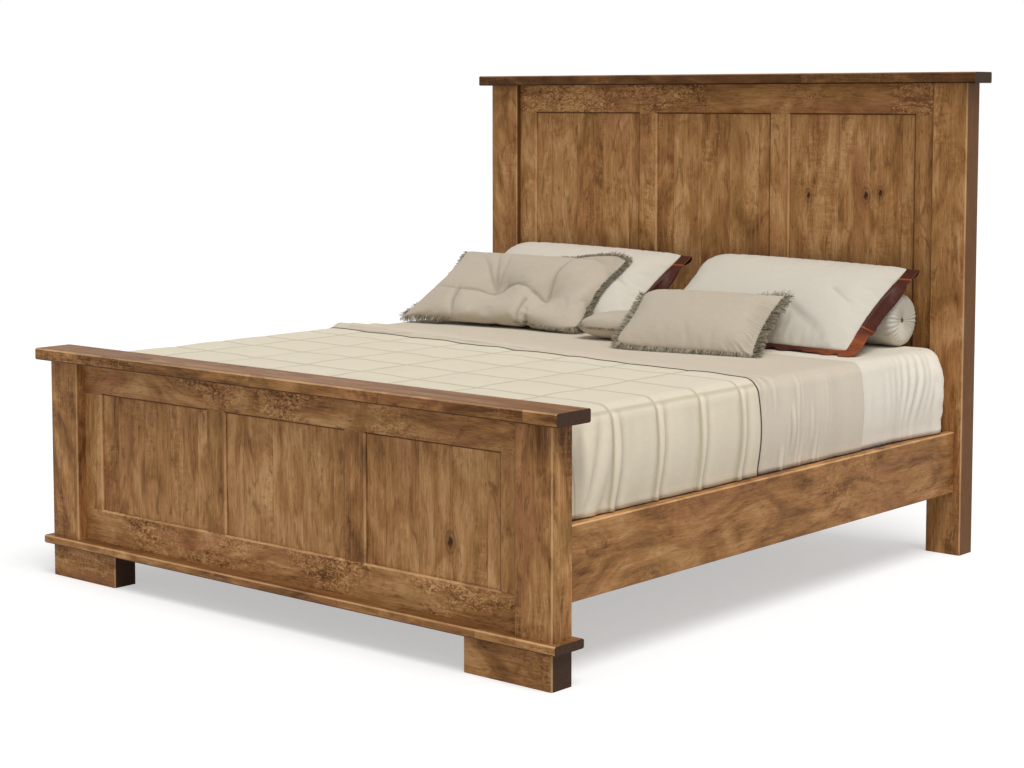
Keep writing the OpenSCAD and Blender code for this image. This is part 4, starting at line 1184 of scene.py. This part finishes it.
def make_flange(name, cushion, rim, material, lies_on, on_roll):
    """The sham's flat border. It lies open on the right and below, where it ripples a little,
    and is folded behind the pillow above and on the left."""
    spots, out = along_rim(rim, FLANGE_CELL)
    along = np.arange(len(spots)) * FLANGE_CELL
    half = cushion.size / 2
    out[(spots[:, 0] > 0.9 * half[0]) & (spots[:, 1] > 0)] = (1, 0, 0)
    to_right = spots[:, 0] / half[0]
    to_top = spots[:, 1] / half[1]
    open_right = rise(to_right, 0.93, 0.03) * rise(to_top, 1.0, -0.04)
    open_low = rise(to_top, -0.8, -0.1) * rise(to_right, -0.95, 0.1)
    fold = np.radians(FOLD_BACK) * (1 - np.maximum(open_right, open_low))
    ripple = plain_noise(along / 0.05, 3.5, 31) * 5 * MM * open_low
    wave = 1 + open_low * (0.3 * plain_noise(along / 0.035, 5.5, 32) - 0.45 * (to_right < 0.93))
    rows = []
    for step in range(FLANGE_STEPS + 1):
        share = step / FLANGE_STEPS
        reach = cushion.trim * share * wave
        turn = fold * min(1.0, share * 3)
        sewn_in = 2 * MM * (step == 0)
        row = spots + out * (reach * np.cos(turn) - sewn_in)[:, None]
        row[:, 2] += ripple * share - reach * np.sin(turn)
        rows.append(row)
    points = settle(np.concatenate(rows), cushion, lies_on, [], on_roll, cushion.trim_t / 2)
    piece = new_piece(name, points, ring_faces(len(rows), len(spots)), material)
    # Painted highlights: two orange lines across the right end, where creases catch the light
    crease_highlight = 0.0
    for height in FLANGE_HIGHLIGHT_HEIGHTS:
        crease_highlight = np.maximum(crease_highlight, bell(np.abs(to_top - height) + (to_right < 0.9), 0, 0.02))
    set_value(piece, "crease_highlight", np.tile(crease_highlight, len(rows)))
    # Painted light: a warmer lit colour on the part below on the right that faces up
    painted_lit = rise(to_top, -0.45, -0.3) * rise(to_right, 0.55, 0.4)
    set_value(piece, "painted_lit", np.tile(painted_lit, len(rows)))
    thicken(piece, cushion.trim_t, 0.0)
    set_down(piece, cushion)


PLEATS = 31
PLEAT_DEPTH = 5 * MM
PLEAT_FADE = 35 * MM
ROLL_SIDES = 216
ROLL_HALF = (ROLL_HIGH.x - ROLL_LOW.x) / 2
ROLL_RADIUS = ROLL_R - 2 * MM
ROLL_FILLET = 26 * MM
ROLL_DISH = 13 * MM
BUTTON_SIDES = 32
BUTTON_R = 9 * MM
BUTTON_SUNK = 14 * MM
BUTTON_DOME = 6 * MM


def roll_outline():
    """The roll's outline from a button to its middle. Each place is its radius, its distance from
    the middle, how far the pleats push it along the roll and outwards, and its share of lumps."""
    core = BUTTON_R * 0.6
    flat_end = ROLL_RADIUS - ROLL_FILLET
    outline = []
    for share in np.linspace(0, 1, 12):
        pushed = PLEAT_DEPTH * min(1, share * 4)
        x = ROLL_HALF - ROLL_DISH * (1 - share) ** 2
        outline.append((core + (flat_end - core) * share, x, pushed, 0, 0))
    for turn in np.linspace(0, math.pi / 2, 8)[1:]:
        x = ROLL_HALF - ROLL_FILLET * (1 - math.cos(turn))
        outline.append((flat_end + ROLL_FILLET * math.sin(turn), x, 0.7 * PLEAT_DEPTH, PLEAT_DEPTH, 0))
    for share in np.linspace(0, 1, 28)[1:]:
        pushed = PLEAT_DEPTH * math.exp(-share * ROLL_HALF / PLEAT_FADE)
        outline.append((ROLL_RADIUS, (ROLL_HALF - ROLL_FILLET) * (1 - share), 0, pushed, 1))
    return outline


def make_roll(material):
    """The stuffed roll: its ends are gathered in pleats to a button."""
    angle = np.linspace(0, 2 * math.pi, ROLL_SIDES, endpoint=False)
    phase = angle * PLEATS + 1.4 * plain_noise(angle * 3 / math.pi, 0, 8)
    deep = 0.6 + 0.4 * plain_noise(angle * PLEATS / math.pi / 2, 7, 9)
    pleat = (np.abs(np.sin(phase / 2)) ** 0.6 - 0.75) * deep
    outline = roll_outline()
    halves = []
    faces = []
    for sign in (1, -1):
        first = len(halves) * ROLL_SIDES
        for radius, x, along, outwards, lumps in outline:
            lump = lumps * 1.5 * MM * plain_noise(angle * 4 / math.pi, sign * x / 0.1, 3)
            reach = radius + outwards * pleat + lump
            halves.append(np.stack([
                sign * (x + along * pleat), reach * np.cos(angle), reach * np.sin(angle)], 1))
        faces += ring_faces(len(outline), ROLL_SIDES, first, flip=sign < 0)
        faces.append(tuple(range(first, first + ROLL_SIDES))[::sign])
    points = ROLL_CENTRE + np.concatenate(halves)
    points[:, 2] = np.maximum(points[:, 2], ROLL_LOW.z + 0.5 * MM)
    piece = new_piece("bolster_cover", points, faces, material)
    made = piece.modifiers.new("join", "WELD")
    made.merge_threshold = 0.5 * MM
    apply_modifiers(piece)
    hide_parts("bolster")


def make_buttons():
    """A domed button in each gathered end of the roll."""
    shade = Shade("button_cloth", roughness=0.8, specular=0.3)
    mottle = shade.noise(shade.place(), 900.0, 2.0)
    shade.colour(shade.ramp(shade.total(0.5, mottle), [
        (0.2, rgb(78, 66, 52)), (0.8, rgb(128, 112, 92))]))
    angle = np.linspace(0, 2 * math.pi, BUTTON_SIDES, endpoint=False)
    base = ROLL_HALF - BUTTON_SUNK
    for sign, end in ((1, "right"), (-1, "left")):
        rings = []
        for turn in np.linspace(0, math.pi / 2, 8)[1:]:
            reach = BUTTON_R * math.sin(turn)
            x = np.full(BUTTON_SIDES, sign * (base + BUTTON_DOME * math.cos(turn)))
            rings.append(np.stack([x, reach * np.cos(angle), reach * np.sin(angle)], 1))
        tip = len(rings) * BUTTON_SIDES
        points = ROLL_CENTRE + np.concatenate(rings + [[[sign * (base + BUTTON_DOME), 0, 0]]])
        faces = ring_faces(len(rings), BUTTON_SIDES, flip=True)
        faces += [(tip, (k + 1) % BUTTON_SIDES, k) for k in range(BUTTON_SIDES)]
        faces.append(tuple(range(tip - BUTTON_SIDES, tip)))
        new_piece("bolster_button_" + end, points, faces, shade.material)


def make_cushions():
    white = cloth("sham_cotton", SHAM_WHITE, thread=0.9 * MM, mottle=0.03)
    greige = cloth("greige_linen", CUSHION_GREIGE, thread=1.3 * MM, mottle=0.05)
    satin = flange_material()
    yarn = fringe_material()
    for name, cushion, on_roll in (("sham_left", SHAM_LEFT, False), ("sham_right", SHAM_RIGHT, True)):
        rim = stuffed(
            name + "_cover", cushion, white, "white_cover", BED_TOP, 0.02, on_roll=on_roll,
            creases=SHAM_CREASES if on_roll else SHAM_CREASES[:1])
        make_flange(name + "_flange", cushion, rim, satin, BED_TOP, on_roll)
    fringed = [
        ("tufted_cushion", TUFTED, [SHAM_LEFT],
         dict(tufts=TUFTS, slack=0.04, free_rim=True, creases=TUFT_CREASES), 27 * MM, TUCKED),
        ("small_cushion", SMALL, [SHAM_RIGHT], dict(slack=0.01), 8 * MM, None),
        ("lumbar_cushion", LUMBAR, [SHAM_RIGHT, SMALL], dict(slack=0.02, puckers=True), 32 * MM, None),
    ]
    for seed, (name, cushion, behind, how, length, below) in enumerate(fringed):
        rim = stuffed(
            name + "_cover", cushion, greige, "greige_linen", COVER_TOP, behind=behind, **how)
        make_fringe(name + "_fringe", cushion, rim, length, yarn, COVER_TOP, behind, seed + 40, below)
    make_roll(white)
    make_buttons()


# Floor, light and camera
FLOOR_SIZE = 60.0
FLOOR_GLOW = 0.46


def seen_directly(tree):
    """1 for a ray that looks at a thing straight, in a mirror or through glass, and 0 for light."""
    path = tree.nodes.new("ShaderNodeLightPath").outputs
    seen = path["Is Camera Ray"]
    for name in ("Is Glossy Ray", "Is Transmission Ray"):
        either = tree.nodes.new("ShaderNodeMath")
        either.operation = "MAXIMUM"
        tree.links.new(seen, either.inputs[0])
        tree.links.new(path[name], either.inputs[1])
        seen = either.outputs[0]
    return seen


def make_floor():
    """A white floor that keeps the bed's shadow. It glows a little where it is seen directly."""
    shade = Shade("floor", roughness=0.9, specular=0.0)
    shade.colour(rgb(205, 205, 205))
    glow = shade.times(seen_directly(shade.tree), FLOOR_GLOW)
    shade.surface.inputs["Emission Color"].default_value = (1.0, 1.0, 1.0, 1.0)
    shade.put(glow, shade.surface.inputs["Emission Strength"])
    half = FLOOR_SIZE / 2
    mesh = bpy.data.meshes.new("floor")
    mesh.from_pydata(
        [(-half, -half, 0), (half, -half, 0), (half, half, 0), (-half, half, 0)], [], [(0, 1, 2, 3)])
    mesh.materials.append(shade.material)
    new_object("floor", mesh)


SKY = 0.4
KEY = 2.15
KEY_FROM = Vector((0.4, -0.16, 0.9))
KEY_SPREAD = 34


def make_light():
    """A white sky that lights less than it looks, and a soft sun."""
    world = bpy.data.worlds.new("studio")
    bpy.context.scene.world = world
    world.use_nodes = True
    tree = world.node_tree
    sky = tree.nodes["Background"]
    sky.inputs["Color"].default_value = (1.0, 1.0, 1.0, 1.0)
    level = tree.nodes.new("ShaderNodeMapRange")
    tree.links.new(seen_directly(tree), level.inputs["Value"])
    level.inputs["To Min"].default_value = SKY
    level.inputs["To Max"].default_value = 1.0
    tree.links.new(level.outputs[0], sky.inputs["Strength"])
    key = bpy.data.lights.new("key", "SUN")
    key.energy = KEY
    key.angle = math.radians(KEY_SPREAD)
    new_object("key", key).rotation_euler = KEY_FROM.to_track_quat("Z", "Y").to_euler()


CAMERA_AT = (4.4267, -5.1902, 1.5358)
CAMERA_DOWN = 0.0848
CAMERA_TURN = 0.7105
CAMERA_LENS = 73.34
CAMERA_SHIFT = -0.105


def make_camera():
    data = bpy.data.cameras.new("camera")
    data.sensor_width = 36.0
    data.lens = CAMERA_LENS
    data.shift_y = CAMERA_SHIFT
    camera = new_object("camera", data)
    camera.location = CAMERA_AT
    camera.rotation_euler = (math.pi / 2 - CAMERA_DOWN, 0.0, CAMERA_TURN)
    bpy.context.scene.camera = camera


bpy.context.scene.view_settings.view_transform = "Standard"
make_camera()
make_light()
make_floor()
dress_wood()
dress_steel()
make_mattress()
make_fitted_sheet()
make_top_sheet()
make_quilt()
make_cushions()
